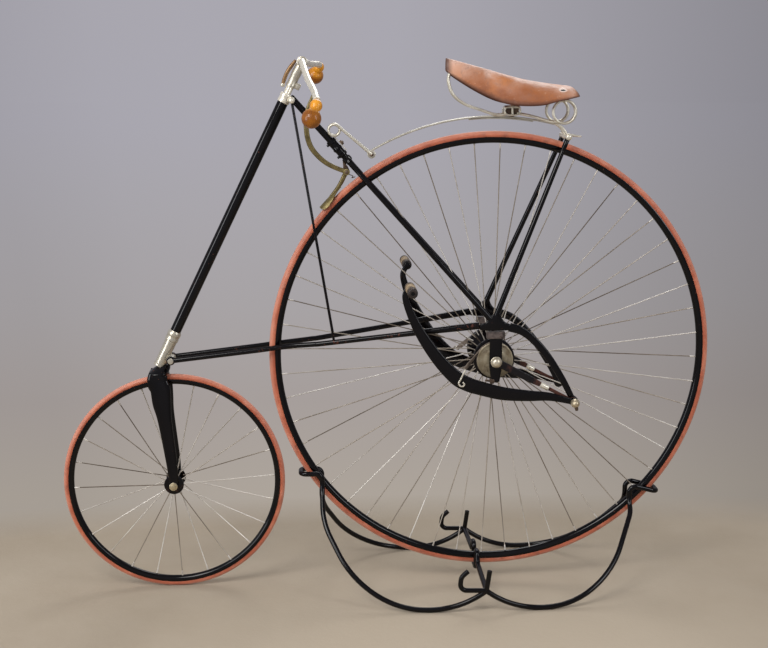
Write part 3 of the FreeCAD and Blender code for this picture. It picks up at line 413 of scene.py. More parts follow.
# ---- lower tubes, braces and stays ----
# Slender black tubes that tie the lug, the side plates and the saddle bracket
# together, and two thin rods that hang from the top collar's bolt to the lower
# tubes. Their flattened eyes are bolted or pinned; the red lead shows in chips.
lower_start = on_steer(lug_bolt_rise, lug_bolt_back, -28 * mm)
lower_end = side_plate + mms(-40.3, 2.5, -14) - stay_half * across
lower_knee = lower_start + (lower_end - lower_start) * [0.4, 0, 0.34]
lower_knee[1] = -32 * mm
lower_line = np.concatenate([run([lower_start + mms(6, 0, 0.6), lower_knee - mms(95, -1.5, 8)], 4),
    run([lower_knee - mms(45, -1, 1.5), lower_knee + mms(5, -0.6, 4),
    lower_knee + (lower_end - lower_knee) * 0.11 + mms(0, 0, 1),
    lower_knee + (lower_end - lower_knee) * 0.22, lower_end], 24)])
eye = [(-20.3, 9.6), (-21.4, 11.8), (-31, 11.8), (-32, 10)]
lower_eye = mill(lower_start * [1, 0, 1], across, eye, 40)
swell_from = lower_knee[0] + 0.55 * (lower_end[0] - lower_knee[0])
lower_wide = np.interp(lower_line[:, 0], [swell_from, lower_end[0]], [14 * mm, 20 * mm])
piece("lower_tubes", worn_enamel, [both(swept(lower_line, lower_wide)), both(lower_eye)])

brace_foot = lower_knee + (lower_end - lower_knee) * 0.22 + mms(0, 0, 8.2)
brace_top = bolt_at - 23 * mm * across
brace_eye = mill(bolt_at, -across, [(16.4, 7), (17.2, 8), (22, 8), (22.9, 6.4)], 32)
piece("head_braces", worn_enamel, [both(swept([brace_top, brace_foot], 6.8 * mm, dome=1.5 * mm)),
    both(brace_eye)])

stay_low = side_plate + mms(5.4, -107, 13.2)
stay_degrees = 71.8
stay_angle = np.radians(stay_degrees)
drive_low, drive_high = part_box("drive_tyre")
drive_r = (drive_high.z - drive_low.z) / 2
stay_way = np.array([np.cos(stay_angle), 0, np.sin(stay_angle)])
stay_top = drive_axle + (drive_r + 7 * mm) * stay_way - 38 * mm * across
stay_line = run([stay_low, stay_low + (stay_top - stay_low) * 0.4,
    stay_low + (stay_top - stay_low) * 0.8, stay_top], 12)
stay_wide = shares(12, [0, 0.25, 1], [16, 14.4, 12])
piece("seat_stays", black_enamel, [both(swept(stay_line, stay_wide))])

# ---- side plates, hangers and rear arches ----
# On each side a forged plate takes the ends of the tubes. A flat arch runs from
# it down to the lever's pivot, and below it a worn iron block and a flat bar hang
# the driving axle. All are black but the block, whose paint has worn to grey.
side_thick = 12 * mm


def forged(name, finish, stands_for, outline, low_y, high_y, round_over, mirror=True, rows=72):
    """A flat forging square to the axle: a closed smooth outline of (x, z) points, pulled in by
    round_over * (1 - sin t) over a quarter circle at each face."""
    loop = np.vstack([outline, outline[0]])
    closed = np.vstack([loop[-2], loop, loop[1]])
    line = run(closed, rows * 2)
    keep = np.linspace(1, len(closed) - 2, rows + 1) / (len(closed) - 1)
    even = np.linspace(0, 1, rows * 2)
    line = np.stack([np.interp(keep, even, line[:, k]) for k in (0, 1)], -1)
    centre = line[:-1].mean(0)
    way = np.gradient(line, axis=0)
    way[0] = way[-1] = (way[0] + way[-1]) / 2
    inward = unit(np.stack([-way[:, 1], way[:, 0]], -1))
    inward *= np.sign((inward * (centre - line)).sum(-1).mean())
    t = np.radians([0, 22, 45, 67, 90])
    inset = round_over * (1 - np.sin(t))
    depth = round_over * (1 - np.cos(t))
    y = np.concatenate([low_y + depth, high_y - depth[::-1]])
    pull = np.concatenate([inset, inset[::-1]])[:, None, None]
    flat = line + inward * pull
    level = np.broadcast_to(y[:, None], flat.shape[:2])
    rows_3d = np.stack([flat[..., 0], level, flat[..., 1]], -1)
    hub = np.broadcast_to([centre[0], 0, centre[1]], rows_3d[:1].shape)
    grid = np.concatenate([hub + low_y * across, rows_3d, hub + high_y * across])
    piece(name, finish, [both(grid) if mirror else grid],
        stands_for=stands_for)


plate_shape = mms((-39, -12), (-28, -8), (-20, -3), (-14, 5), (-8, 12), (0, 16), (8, 22), (15, 20),
    (19, 8), (29, -5), (43, -12), (42, -25), (24, -28), (-14, -28), (-30, -26), (-39, -24))
forged("side_plates", black_enamel, "gussets", side_plate[[0, 2]] + plate_shape,
    -stay_half - side_thick / 2, -stay_half + side_thick / 2, 3 * mm)

hanger_top = side_plate[2] - 50 * mm
hanger_heights = [hanger_top, *(drive_axle[2] + mms(20, -16, -55.5))]
hanger_line = run([(drive_axle[0], -stay_half, z) for z in hanger_heights], 24)
hanger_wide = shares(24, [0, 0.62, 0.7, 1], [33, 34, 33, 22])
piece("hangers", black_enamel, [both(swept(hanger_line, hanger_wide, side_thick, square=5,
    sides=40))])

worn_grey = Finish("worn_grey_iron", "black_enamel", Metallic=0.3)
grey_patch = worn_grey.ramp((70, 6), (0.32, (0.035, 0.026, 0.023)), (0.55, (0.12, 0.092, 0.083)),
    (0.75, (0.2, 0.16, 0.14)))
worn_grey.finish(grey_patch, worn_grey.ramp(140, (0.3, 0.45), (0.7, 0.75)), worn_grey.noise(300),
    0.0004)
block_mid = np.array([drive_axle[0] - 1 * mm, -stay_half, side_plate[2] - 40 * mm])
block_line = [block_mid - mms(24, 0, 0), block_mid + mms(24, 0, 0)]
block_bolt = mill(block_mid * [1, 0, 1] + mms(14, 0, 0), -across,
    [(116, 5), (119, 5), (120.5, 3.5)], 6)
piece("hanger_blocks", worn_grey, [both(swept(block_line, 19.4 * mm, 18 * mm, square=8, sides=40,
    dome=1 * mm)), both(block_bolt)])

foot_at = drive_axle + mms(-9, 0, -55)
foot_nut = mill(foot_at, -across, [(101, 6), (101.6, 7.2), (113, 7.2), (114, 5.6), (114.2, 4),
    (117, 3.8)], 6)
foot_tail = swept([foot_at + mms(-16, -107, 2), foot_at + mms(14, -107, -2)], 6 * mm, dome=3 * mm)
piece("hanger_clamps", brown_iron, [both(foot_nut), both(foot_tail)])

fulcrum = joint_at["lever_left_stroke"]
arch_from = side_plate + mms(41.3, 0, -19)
arch_drop = fulcrum - arch_from


def disc(low, high, radius, slant, drop):
    """The steps of a disc whose two rims are bevelled: slant along the axis, drop inward."""
    rim = radius - drop
    return [(low, rim), (low + slant, radius), (high - slant, radius), (high, rim)]


def along(start, table, reach, rise, y, rows):
    """A smooth line through a table of shares of a reach and of a rise, in a plane across."""
    places = [start[0] + table[:, 0] * reach, np.full(len(table), y),
        start[2] + table[:, 1] * rise]
    return run(np.stack(places, -1), rows)


# share of the reach, share of the drop, width
arch_table = np.array([(0, 0, 24), (0.2, 0.06, 22), (0.4, 0.2, 21), (0.62, 0.43, 20),
    (0.84, 0.73, 18), (1, 1, 16)])
arch = along(arch_from, arch_table, arch_drop[0], arch_drop[2], -stay_half, 48)
arch_wide = np.interp(np.linspace(0, 5, 48), range(6), arch_table[:, 2] * mm)
arch_eye = mill(fulcrum, across, disc(-113, -101, 13, 0.8, 1.4), 40)
piece("rear_arches", black_enamel, [both(swept(arch, arch_wide, side_thick, square=3.6, sides=40)),
    both(arch_eye)])


# ---- radius links and pivot pins ----
# A stay rod on each side runs from the axle's end to the lever's pivot: broad and
# rusty at the axle, then a bright turnbuckle sleeve, then thin. The pivot pin ends
# in a round plated knob, with a small brass oil cup above and a brown nub below.
link_y = -(stay_half + side_thick / 2 + 2.6 * mm)
link_from = drive_axle + link_y * across
link_run = (fulcrum - drive_axle) * [1, 0, 1]
link_share = np.array([0, 0.1, 0.22, 0.46, 0.55, 0.62, 0.8, 1])
link_line = link_from + link_share[:, None] * link_run
link_wide = mms(22, 21, 20, 18, 14, 10, 9, 9)
rusty = Finish("rusty_enamel", "black_enamel", Specular_IOR_Level=0.3)
near_pivot = rusty.ramp(rusty.spot(tuple(fulcrum), (0.15, 0.4, 0.15)), (0.4, 0.34), (1, 0))
rust_mask = rusty.ramp(rusty.math("ADD", rusty.noise(30, 7), near_pivot), (0.6, 0), (0.78, 1))
rust_tint = rusty.ramp(160, (0.3, (0.03, 0.012, 0.009)), (0.7, (0.11, 0.036, 0.022)))
rusty.finish(rusty.mix(rust_mask, (0.006, 0.005, 0.006), rust_tint),
    rusty.mix(rust_mask, (0.25, 0.25, 0.25), (0.75, 0.75, 0.75)), rusty.noise(200), 0.00015)
link_ends = [mill(drive_axle, across, disc(-117.8, -113.3, 15, 0.6, 1), 40),
    mill(fulcrum, across, disc(-117.8, -113.3, 11, 0.6, 1), 32)]
piece("radius_links", rusty, [both(swept(link_line, link_wide, 4.5 * mm, square=4, sides=32)),
    *[both(e) for e in link_ends]])

sleeve_way = unit(link_run)
sleeve_at = link_from + 0.57 * link_run
sleeve_steps = [(0, 5.2), (0.8, 7.2), (2, 7.6), (23, 7.6), (24.2, 7.2), (25, 5.2)]
piece("link_sleeves", bright_nickel, [both(mill(sleeve_at, sleeve_way, sleeve_steps, 32))])

lever_half = 125 * mm
knob = [(-101.2, 6), (-130.5, 6), (-131.4, 8), (-133, 10.6), (-137, 12), (-143.3, 12), (-149, 10),
    (-153, 7), (-155, 3.4), (-155.3, 1.4)]
oil_cup = mill(fulcrum + mms(-5, -107, 12), (-0.2, 0, 1), [(0, 4), (7, 4), (8, 5.2), (12, 5.2),
    (14, 3)], 24)
nub = mill(fulcrum + mms(2, -143, -8), (0.2, 0, -1), [(0, 5.4), (7, 5.4), (9, 4.4), (11, 4.4),
    (12, 3)], 6)
piece("pivot_knobs", plated("brassy_nickel", (0.66, 0.58, 0.42), (0.4, 0.31, 0.19),
    (0.16, 0.09, 0.045), 0.02), [both(mill(fulcrum, across, knob, 40)), both(oil_cup)],
    stands_for="pivot_pins")
piece("pivot_nubs", brown_iron, [both(nub)])

# ---- tyres and rims ----
# Solid round rubber tyres of a faded brick red, cemented into crescent rims of
# rolled steel, enamelled black. Handling has left the rubber with dark smudges,
# a pale bloom and small nicks; red rubber shows at the edge of the cement.
front_axle = joint_at["front_wheel_spin"]
front_low, front_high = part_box("front_tyre")
front_r = (front_high.z - front_low.z) / 2

rubber = Finish("red_tyre_rubber", "red_tyre", Sheen_Weight=0.08)
brick = rubber.ramp((12, 5, 0.7), (0.3, (0.32, 0.066, 0.03)), (0.55, (0.45, 0.115, 0.055)),
    (0.78, (0.6, 0.215, 0.125)))
smudge = rubber.ramp((38, 7, 0.72), (0.52, 0), (0.72, 0.75))
bloom = rubber.ramp(rubber.noise(24, 5, 0.6, warp=1), (0.55, 0), (0.8, 0.45))
speck = rubber.ramp((420, 2), (0.68, 0), (0.73, 0.9))
tint = rubber.mix(smudge, rubber.mix(bloom, brick, (0.62, 0.33, 0.25)), (0.15, 0.045, 0.028))
tint = rubber.mix(speck, tint, (0.07, 0.025, 0.018))
# The outer face of the tread is painted paler in clouds: partly wear, partly a painted highlight.
tread_clouds = rubber.math("MULTIPLY", rubber.noise(9, 5), 0.9)
pale_tread_wear_and_highlight = rubber.math("ADD", rubber.attribute("tone"), tread_clouds)
tint = rubber.mix(rubber.ramp(pale_tread_wear_and_highlight, (0.45, 0), (1.05, 0.5)), tint, (0.7, 0.33, 0.235))
rubber.finish(tint, rubber.ramp(80, (0.3, 0.46), (0.8, 0.72)),
    rubber.math("SUBTRACT", rubber.noise(260, 6), speck), 0.0004)


def wheel_tyre(centre, radius, section, name, body):
    """A round solid tyre: a circle of the section carried round the axle."""
    t = np.linspace(0, 2 * np.pi, 25)
    circle = np.stack([np.sin(t), np.cos(t)], -1) * section + [0, radius - section]
    # the tone rises to the outer face, where the colour is painted paler: partly wear, partly a
    # painted highlight
    outward = np.broadcast_to(np.cos(t)[:, None] * 0.6, (25, 193))
    return piece(name, rubber, [turned(centre, across, circle, 192)], body, tone=outward)


def wheel_rim(centre, radius, section, rim_section, name, body):
    """A crescent: the outer circle round the hub side, lip to lip, then back along the tyre."""
    middle = radius - section - rim_section + 3 * mm
    seat = radius - section
    outer_t = np.radians(np.linspace(20, -200, 27))
    outer = np.stack([np.cos(outer_t), np.sin(outer_t)], -1) * rim_section + [0, middle]
    rise = outer[0, 1] - seat
    reach = np.arcsin(rise / (section + 0.2 * mm))
    inner_t = np.linspace(np.pi - reach, 2 * np.pi + reach, 17)
    inner = np.stack([np.cos(inner_t), np.sin(inner_t)], -1) * (section + 0.2 * mm) + [0, seat]
    profile = np.vstack([outer, inner, outer[:1]])
    return piece(name, black_enamel, [turned(centre, across, profile, 192)], body)


drive_section, drive_rim_section = 11 * mm, 12 * mm
front_section, front_rim_section = 9.5 * mm, 11 * mm
wheel_tyre(drive_axle, drive_r, drive_section, "drive_tyre", "drive_wheel")
wheel_rim(drive_axle, drive_r, drive_section, drive_rim_section, "drive_rim", "drive_wheel")
wheel_tyre(front_axle, front_r, front_section, "front_tyre", "front_wheel")
wheel_rim(front_axle, front_r, front_section, front_rim_section, "front_rim", "front_wheel")

# ---- spokes ----
# Drawn steel wire that runs straight out from the hub's left and right flange by
# turns, elbowed through it and screwed into a plated nipple at the rim. Some wires
# are bright, and others have gone brown.
spoke_steel = Finish("spoke_steel", "steel", Metallic=0.55)
wire_tone = spoke_steel.math("ADD", spoke_steel.attribute("tone"),
    spoke_steel.math("MULTIPLY", spoke_steel.math("SUBTRACT", spoke_steel.noise(6), 0.5), 0.9))
wire_tint = spoke_steel.ramp(wire_tone, (0.1, (0.12, 0.09, 0.065)), (0.42, (0.38, 0.33, 0.27)),
    (0.85, (0.8, 0.77, 0.72)))
spoke_steel.finish(wire_tint, spoke_steel.ramp(wire_tone, (0.2, 0.62), (0.9, 0.46)))


def wire_wheel(centre, count, first_deg, hub_r, flange_y, rim_r, wire_r, name, body, seed):
    """All spokes of a wheel at once: spoke i runs straight out at angle first + 360 i / count,
    from the left flange and the right one by turns."""
    i = np.arange(count)
    side = np.where(i % 2, 1, -1)
    a = np.radians(first_deg) + 2 * np.pi * i / count
    face = side * (flange_y - 0.3 * mm - wire_r)
    hub = centre + np.stack([hub_r * np.cos(a), face, hub_r * np.sin(a)], -1)
    rim = centre + np.stack([rim_r * np.cos(a), side * 3 * mm, rim_r * np.sin(a)], -1)
    long = np.linalg.norm(rim - hub, axis=-1)
    way = unit(rim - hub)
    flat = unit(np.cross(way, across))
    over = np.cross(way, flat)
    nipple = [long - 15 * mm, long - 14.6 * mm, long - 8 * mm, long, long]
    at = np.stack([0 * long, 0 * long, *nipple], -1)
    radius = np.array([0, wire_r, wire_r, 1.7 * mm, 2 * mm, 2.5 * mm, 0])
    turn = np.linspace(0, 2 * np.pi, 9)
    ring = flat[:, None] * np.cos(turn)[:, None] + over[:, None] * np.sin(turn)[:, None]
    middle = hub[:, None] + way[:, None] * at[..., None]
    grid = middle[:, :, None] + radius[:, None, None] * ring[:, None]
    elbow_y = np.stack([face, face, side * flange_y, side * (flange_y + 0.8 * mm),
        side * (flange_y + 1.4 * mm)], -1)
    elbow_r = np.array([0, wire_r, wire_r, 2 * mm, 0])
    circle = np.stack([np.cos(turn), 0 * turn, np.sin(turn)], -1)
    elbow = (hub * [1, 0, 1])[:, None, None] + elbow_y[..., None, None] * across
    elbow = elbow + elbow_r[:, None, None] * circle
    shade = np.random.default_rng(seed).uniform(0.1, 0.74, count)
    tone = np.broadcast_to(shade[:, None, None], grid.shape[:3]).copy()
    tone[:, 3:] = 0.62
    elbow_tone = np.broadcast_to(shade[:, None, None], elbow.shape[:3])
    tones = np.concatenate([tone.ravel(), elbow_tone.ravel()])
    piece(name, spoke_steel, [grid, elbow], body, tone=tones)


# the nipples end 0.3 mm short of the rim's inner side, whose lips lap the tyre by 3 mm
drive_inner = drive_r - drive_section - 2 * drive_rim_section + 2.7 * mm
front_inner = front_r - front_section - 2 * front_rim_section + 2.7 * mm
wire_wheel(drive_axle, count=52, first_deg=5.1, hub_r=47 * mm, flange_y=59.5 * mm,
    rim_r=drive_inner, wire_r=1.4 * mm, name="drive_spokes", body="drive_wheel", seed=4)
wire_wheel(front_axle, count=24, first_deg=2.8, hub_r=22 * mm, flange_y=33.5 * mm,
    rim_r=front_inner, wire_r=1.35 * mm, name="front_spokes", body="front_wheel", seed=9)

# ---- hubs and axles ----
# Turned steel hubs with thin flanges for the spokes. On the driving hub a black
# ratchet case stands outside each flange; the axle's ends carry domed cap nuts.
# The small wheel's axle is nutted outside the fork's eyes.
hub_steps = [(-79, 50), (-78.4, 54.5), (-76.5, 56), (-67, 56), (-65.2, 54.5), (-64.5, 51),
    (-64.4, 51.6), (-63.6, 52), (-60.2, 52), (-59.5, 50), (-59.4, 30), (-56, 24), (-48, 21.5),
    (-20, 20.5)]
hub_shell = mm * np.array(two_ways(hub_steps))
hub_bore = mms((79, 9.05), (-79, 9.05))
piece("drive_hub", black_enamel, [turned(drive_axle, across, np.vstack([hub_shell, hub_bore,
    hub_shell[:1]]), 72)], "drive_wheel")
front_hub_steps = [(-38, 16), (-37.6, 25.6), (-37, 27), (-34.4, 27), (-33.5, 26), (-33.2, 15.5),
    (-28, 12.6), (0, 11.8)]
front_shell = mm * np.array(two_ways(front_hub_steps))
front_bore = mms((38, 5.05), (-38, 5.05))
piece("front_hub", worn_enamel, [turned(front_axle, across, np.vstack([front_shell, front_bore,
    front_shell[:1]]), 56)], "front_wheel")
piece("axle", brown_iron, [mill(drive_axle, across, disc(-121, 121, 9, 0.5, 0.4))])
cap = [(118.1, 13.2), (118.6, 15), (124, 15), (125, 13.6), (129.5, 12.4), (133, 9.6), (135, 6.2),
    (136, 2.4)]
piece("axle_caps", plated("brassy_nickel_cap", (0.74, 0.68, 0.54), (0.48, 0.4, 0.27),
    (0.2, 0.13, 0.06), 0), [both(mill(drive_axle, -across, cap))])
front_nut = [(52.8, 9.4), (53.2, 11), (57, 11), (57.8, 9.6), (58, 7.2), (60.8, 6.6), (61.8, 4.2),
    (62, 2)]
piece("front_axle", plated("brassy_nut", (0.62, 0.55, 0.38), (0.38, 0.3, 0.17), (0.14, 0.08, 0.04),
    0.03), [mill(front_axle, across, [(-58, 4.9), (58, 4.9)], 24),
    both(mill(front_axle, -across, front_nut, 32))], "steering")

# ---- strap drums and straps ----
# On each side a narrow drum beside the ratchet case takes the leather strap that
# the lever pulls. Its outer plate is turned brass under worn nickel. The strap
# ends in a wire hook that is caught on the lever's edge.
drum_plate = plated("worn_drum_plate", (0.44, 0.39, 0.28), (0.25, 0.2, 0.125), (0.1, 0.065, 0.036),
    0.06, (0.34, 0.55))
drum_steps = mms((79.4, 9.1), (79.4, 44), (80.2, 46), (93, 46), (93.2, 48.4), (94, 49), (95.8, 49),
    (96.4, 48), (96.5, 44.5), (95.7, 43.6), (95.7, 30), (96.3, 29.2), (96.4, 18), (96.4, 9.1),
    (79.4, 9.1))
hide = Finish("strap_leather", "strap_hide")
hide_tint = hide.ramp((48, 6), (0.3, (0.05, 0.036, 0.027)), (0.55, (0.13, 0.098, 0.075)),
    (0.8, (0.23, 0.18, 0.145)))
hide.finish(hide_tint, hide.ramp(90, (0.3, 0.6), (0.8, 0.85)), hide.noise(380, 7, 0.7), 0.0005)
hook_at = drive_axle + mms(-84, 0, -22)
raise_by = (np.arctan2(*(joint_at["pedal_right_spin"] - fulcrum)[[2, 0]])
    - np.arctan2(*(joint_at["pedal_left_spin"] - fulcrum)[[2, 0]]))


def raised(grid):
    """The right lever rests a little higher: its pieces turn about the pivot by that angle."""
    c, s = np.cos(raise_by), np.sin(raise_by)
    x, z = grid[..., 0] - fulcrum[0], grid[..., 2] - fulcrum[2]
    return np.stack([fulcrum[0] + c * x - s * z, grid[..., 1], fulcrum[2] + s * x + c * z], -1)


def right_side(grid):
    """The left lever's points with y turned round, then raised as the right lever is."""
    return raised(grid * [1, -1, 1])


def strap_line(end):
    """The strap leaves the drum along its tangent and runs straight to the hook."""
    reach = end - drive_axle
    far = np.hypot(reach[0], reach[2])
    wound = 48.3 * mm
    turn = np.arctan2(reach[2], reach[0]) - np.arccos(wound / far)
    leave = drive_axle + wound * np.array([np.cos(turn), 0, np.sin(turn)])
    back = np.radians(np.linspace(-70, 0, 10))[:, None]
    wrap = drive_axle + wound * np.hstack([np.cos(turn + back), 0 * back, np.sin(turn + back)])
    share = np.linspace(0.1, 1, 12)[:, None]
    straight = leave + share * (end - leave)
    line = np.vstack([wrap, straight])
    line[:, 1] = np.interp(np.arange(len(line)), [0, 10, 21], [87 * mm, 88 * mm, 107 * mm])
    return line, leave


for side, name in ((-1, "left"), (1, "right")):
    piece("drum_" + name, drum_plate, [turned(drive_axle, side * across, drum_steps, 72)],
        "drum_" + name)
    wound_strap = mms((80.8, 46.2), (80.8, 48.6), (81.6, 49.6), (91.4, 49.6), (92.2, 48.6),
        (92.2, 46.2), (80.8, 46.2))
    piece("strap_wrap_" + name, hide, [turned(drive_axle, side * across, wound_strap, 72)],
        "drum_" + name)
    end = hook_at if side < 0 else raised(hook_at)
    line, leave = strap_line(end)
    line = line * [1, side, 1]
    twist = np.radians(np.interp(np.arange(len(line)), [0, 9, 21], [0, 12, 62]))[:, None]
    outward = np.cross(unit(np.gradient(line, axis=0)), across)
    strap_wide = np.interp(np.arange(len(line)), [0, 9, 18, 21], mms(12, 12.5, 13.5, 10))
    flat_way = across * np.cos(twist) - side * outward * np.sin(twist)
    strap = swept(line, 3.6 * mm, strap_wide, flat_way, square=5, dome=1 * mm)
    strap_piece = piece("strap_" + name, hide, [strap], None)
    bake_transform(strap_piece)

hook_points = hook_at + mms((0, -100.8, 0), (0.5, -116, 1.2), (-1, -130, 1.8), (-5, -134.4, -3),
    (-14, -134.4, -22), (-18.5, -134.4, -31), (-15, -134.4, -38.5), (-7.5, -134.4, -40),
    (-3, -134.4, -35), (-6, -134.4, -30))
hook_wire = swept(run(hook_points, 60), 4.6 * mm, side_way=(1, 0.35, 0.2), sides=16, dome=2 * mm)
hook_nickel = plated("cream_nickel", (0.8, 0.76, 0.64), (0.6, 0.56, 0.46), (0.34, 0.28, 0.17), 0,
    (0.3, 0.5))
piece("strap_hook_left", hook_nickel, [hook_wire], "lever_left")
piece("strap_hook_right", hook_nickel, [right_side(hook_wire)], "lever_right")

# ---- levers and pedals ----
# Each foot lever is a broad flat forging, curved like a horn: it pivots behind the
# axle, sweeps under it and rises to the pedal's pin. The pedals are rollers of tan
# rubber between black end caps, darker toward their ends.
pedal = joint_at["pedal_left_spin"]
reach_ahead = fulcrum[0] - pedal[0]
reach_up = pedal[2] - fulcrum[2]
# share of the reach ahead, share of the rise, width
lever_table = np.array([(0, 0, 15), (0.147, 0.048, 22), (0.29, 0.061, 30), (0.438, 0.083, 36),
    (0.569, 0.13, 38), (0.646, 0.166, 39.5), (0.718, 0.224, 39.5), (0.821, 0.374, 34.5),
    (0.924, 0.583, 29), (0.991, 0.769, 22), (1.025, 0.915, 16), (1.004, 0.997, 13)])
lever_line = along(fulcrum, lever_table, -reach_ahead, reach_up, -lever_half, 96)
lever_wide = run(lever_table[:, 2:] * mm, 96)[:, 0]
lever_grids = [swept(lever_line, lever_wide, 12 * mm, square=4.2, sides=56, dome=2 * mm),
    mill(fulcrum, across, disc(-131, -119, 11, 0.8, 1.4), 40),
    mill(pedal * [1, 0, 1], across, disc(-131, -119, 8, 0.6, 1), 32),
    mill(pedal * [1, 0, 1], across, [(-241, 4.6), (-240.4, 5), (-125, 5)], 24)]
piece("lever_left", black_enamel, lever_grids, "lever_left")
piece("lever_right", black_enamel, [right_side(g) for g in lever_grids], "lever_right")

tan_rubber = Finish("tan_pedal_rubber", "pedal_rubber")
tan = tan_rubber.ramp((60, 6), (0.3, (0.16, 0.105, 0.055)), (0.55, (0.36, 0.26, 0.15)),
    (0.8, (0.46, 0.36, 0.23)))
grime = tan_rubber.ramp(tan_rubber.math("ADD", tan_rubber.noise(75, 6, 0.7),
    tan_rubber.attribute("tone")), (0.52, 0), (0.66, 0.95))
tan_rubber.finish(tan_rubber.mix(grime, tan, (0.05, 0.032, 0.02)), 0.75, tan_rubber.noise(300, 6),
    0.0006)
cap_black = Finish("black_pedal_cap", "pedal_cap")
cap_tint = cap_black.ramp((90, 5), (0.4, (0.008, 0.006, 0.006)), (0.75, (0.035, 0.02, 0.014)))
cap_black.finish(cap_tint, cap_black.ramp(70, (0.3, 0.35), (0.8, 0.65)), cap_black.noise(420),
    0.0003)
roller = mms((137.4, 5.1), (137.4, 12.2), (138.6, 13.5), (150, 13.8), (151, 13), (152.2, 13),
    (153.2, 13.8), (169, 13.6), (170, 12.9), (171.2, 12.9), (172.2, 13.6), (187, 13.6),
    (188, 12.9), (189.2, 12.9), (190.2, 13.6), (206, 13.7), (207, 13), (208.2, 13), (209.2, 13.7),
    (231.4, 13.5), (232.8, 12.2), (232.8, 5.1), (137.4, 5.1))
caps = [[(131.3, 5.1), (131.3, 11.4), (132.2, 13), (136.4, 13), (137.2, 12), (137.2, 5.1),
    (131.3, 5.1)], [(233.1, 5.1), (233.1, 12.2), (233.8, 13), (238.6, 13), (240.2, 11.8), (241, 9),
    (241, 5.1), (233.1, 5.1)]]
for side, name in ((-1, "left"), (1, "right")):
    pin = joint_at["pedal_" + name + "_spin"] * [1, 0, 1]
    handled = np.interp(roller[:, 0] / mm, [137, 152, 168, 205, 212, 226],
        [0.5, 0.16, 0, 0, 0.12, 0.5])
    piece("pedal_rubber_" + name, tan_rubber, [turned(pin, side * across, roller, 40)],
        "pedal_" + name, tone=np.broadcast_to(handled[:, None], (len(roller), 41)))
    piece("pedal_caps_" + name, cap_black, [turned(pin, side * across, mm * np.array(c), 40)
        for c in caps], "pedal_" + name)

# ---- leaf spring and its bracket ----
# The saddle is carried by one long flat spring over the driving tyre, plated a
# warm cream. Its tail is bolted to a cross piece on the seat stays; its front end
# is rolled into an eye that hangs on a wire shackle from the backbone's sleeve.
spring_plate = plated("spring_nickel", (0.6, 0.57, 0.48), (0.42, 0.39, 0.32), (0.24, 0.19, 0.12),
    0, (0.34, 0.55))
leaf_r = drive_r + 36 * mm
leaf_thick = 4.5 * mm


def round_drive(degrees, radius, side=0):
    """Points on a circle round the driving axle; 0 is rearward and 90 is up."""
    t = np.radians(np.asarray(degrees, float))
    return drive_axle + np.stack([radius * np.cos(t), side + 0 * t, radius * np.sin(t)], -1)


leaf_tail, leaf_front = 75.5, 120.9  # degrees round the driving axle
leaf_angles = np.linspace(leaf_tail, leaf_front, 60)
leaf_line = round_drive(leaf_angles, leaf_r + leaf_thick / 2)
leaf_wide = np.interp(leaf_angles, [leaf_tail, 79, 90, 112, leaf_front], mms(20, 25, 26, 25, 20))
leaf = swept(leaf_line, leaf_thick, leaf_wide, square=8, sides=32)
eye_at = round_drive(leaf_front, leaf_r + leaf_thick - 11 * mm + 0.8 * mm)
eye_ring = mms((-13, 10), (-12.4, 11), (12.4, 11), (13, 10), (13, 5.2), (12.4, 4.6), (-12.4, 4.6),
    (-13, 5.2), (-13, 10))
second_angles = np.linspace(80.5, 96, 30)
second_line = round_drive(second_angles, leaf_r - 2.2 * mm)
second_wide = np.interp(second_angles, [80.5, 84, 92, 96], mms(12, 22, 22, 12))
second = swept(second_line, 3.4 * mm, second_wide, square=8, sides=32)
piece("leaf_spring", spring_plate, [leaf, turned(eye_at, across, eye_ring, 40), second])

coil_at = on_yoke(-74, 0, 26.3)
shackle_coil_r = 15 * mm
way_in = unit(eye_at - coil_at)
way_over = np.array([-way_in[2], 0, way_in[0]])
shackle_start = coil_at + way_over * shackle_coil_r
turns = np.linspace(0, 1.35 * 2 * np.pi, 60)[:, None]
coil_ring = coil_at + shackle_coil_r * (np.cos(turns) * way_over - np.sin(turns) * way_in)
coil_ring += across * mm * (0.8 * turns - 14.7)
halfway = (eye_at + shackle_start) / 2 - across * 14.7 * mm
shackle = np.vstack([run([eye_at - across * 14.8 * mm, halfway], 6), coil_ring])
strip_points = [on_yoke(-d, 0, over) for d, over in ((78, 10.8), (66, 11.8), (58, 15), (36, 15.1),
    (13, 15.1))]
strip = swept(run(strip_points, 24), 2.4 * mm, 14 * mm, square=5, sides=24)
strip_screw = mill(on_yoke(-36, 0, 15.6), bone_over, [(0, 5.6), (0.5, 6.8), (5.6, 6.8), (6.4, 5.8),
    (6.5, 3.6), (8, 3.4), (8.8, 2)], 24)
eye_pin = [(17.2, 4.6), (16.8, 5.4), (15.4, 5.4), (14.9, 4.2), (0, 4.2)]
shackle_thick = np.interp(np.arange(len(shackle)), [0, 5, 12, len(shackle) - 1],
    mms(9.4, 7.6, 6.8, 6.4))
piece("front_shackle", hook_nickel, [both(swept(shackle, shackle_thick, shackle_thick, sides=20,
    dome=1.5 * mm)), strip], stands_for="front_link")
piece("eye_rivets", brown_iron, [both(mill(eye_at, -across, eye_pin[::-1], 28)), strip_screw])

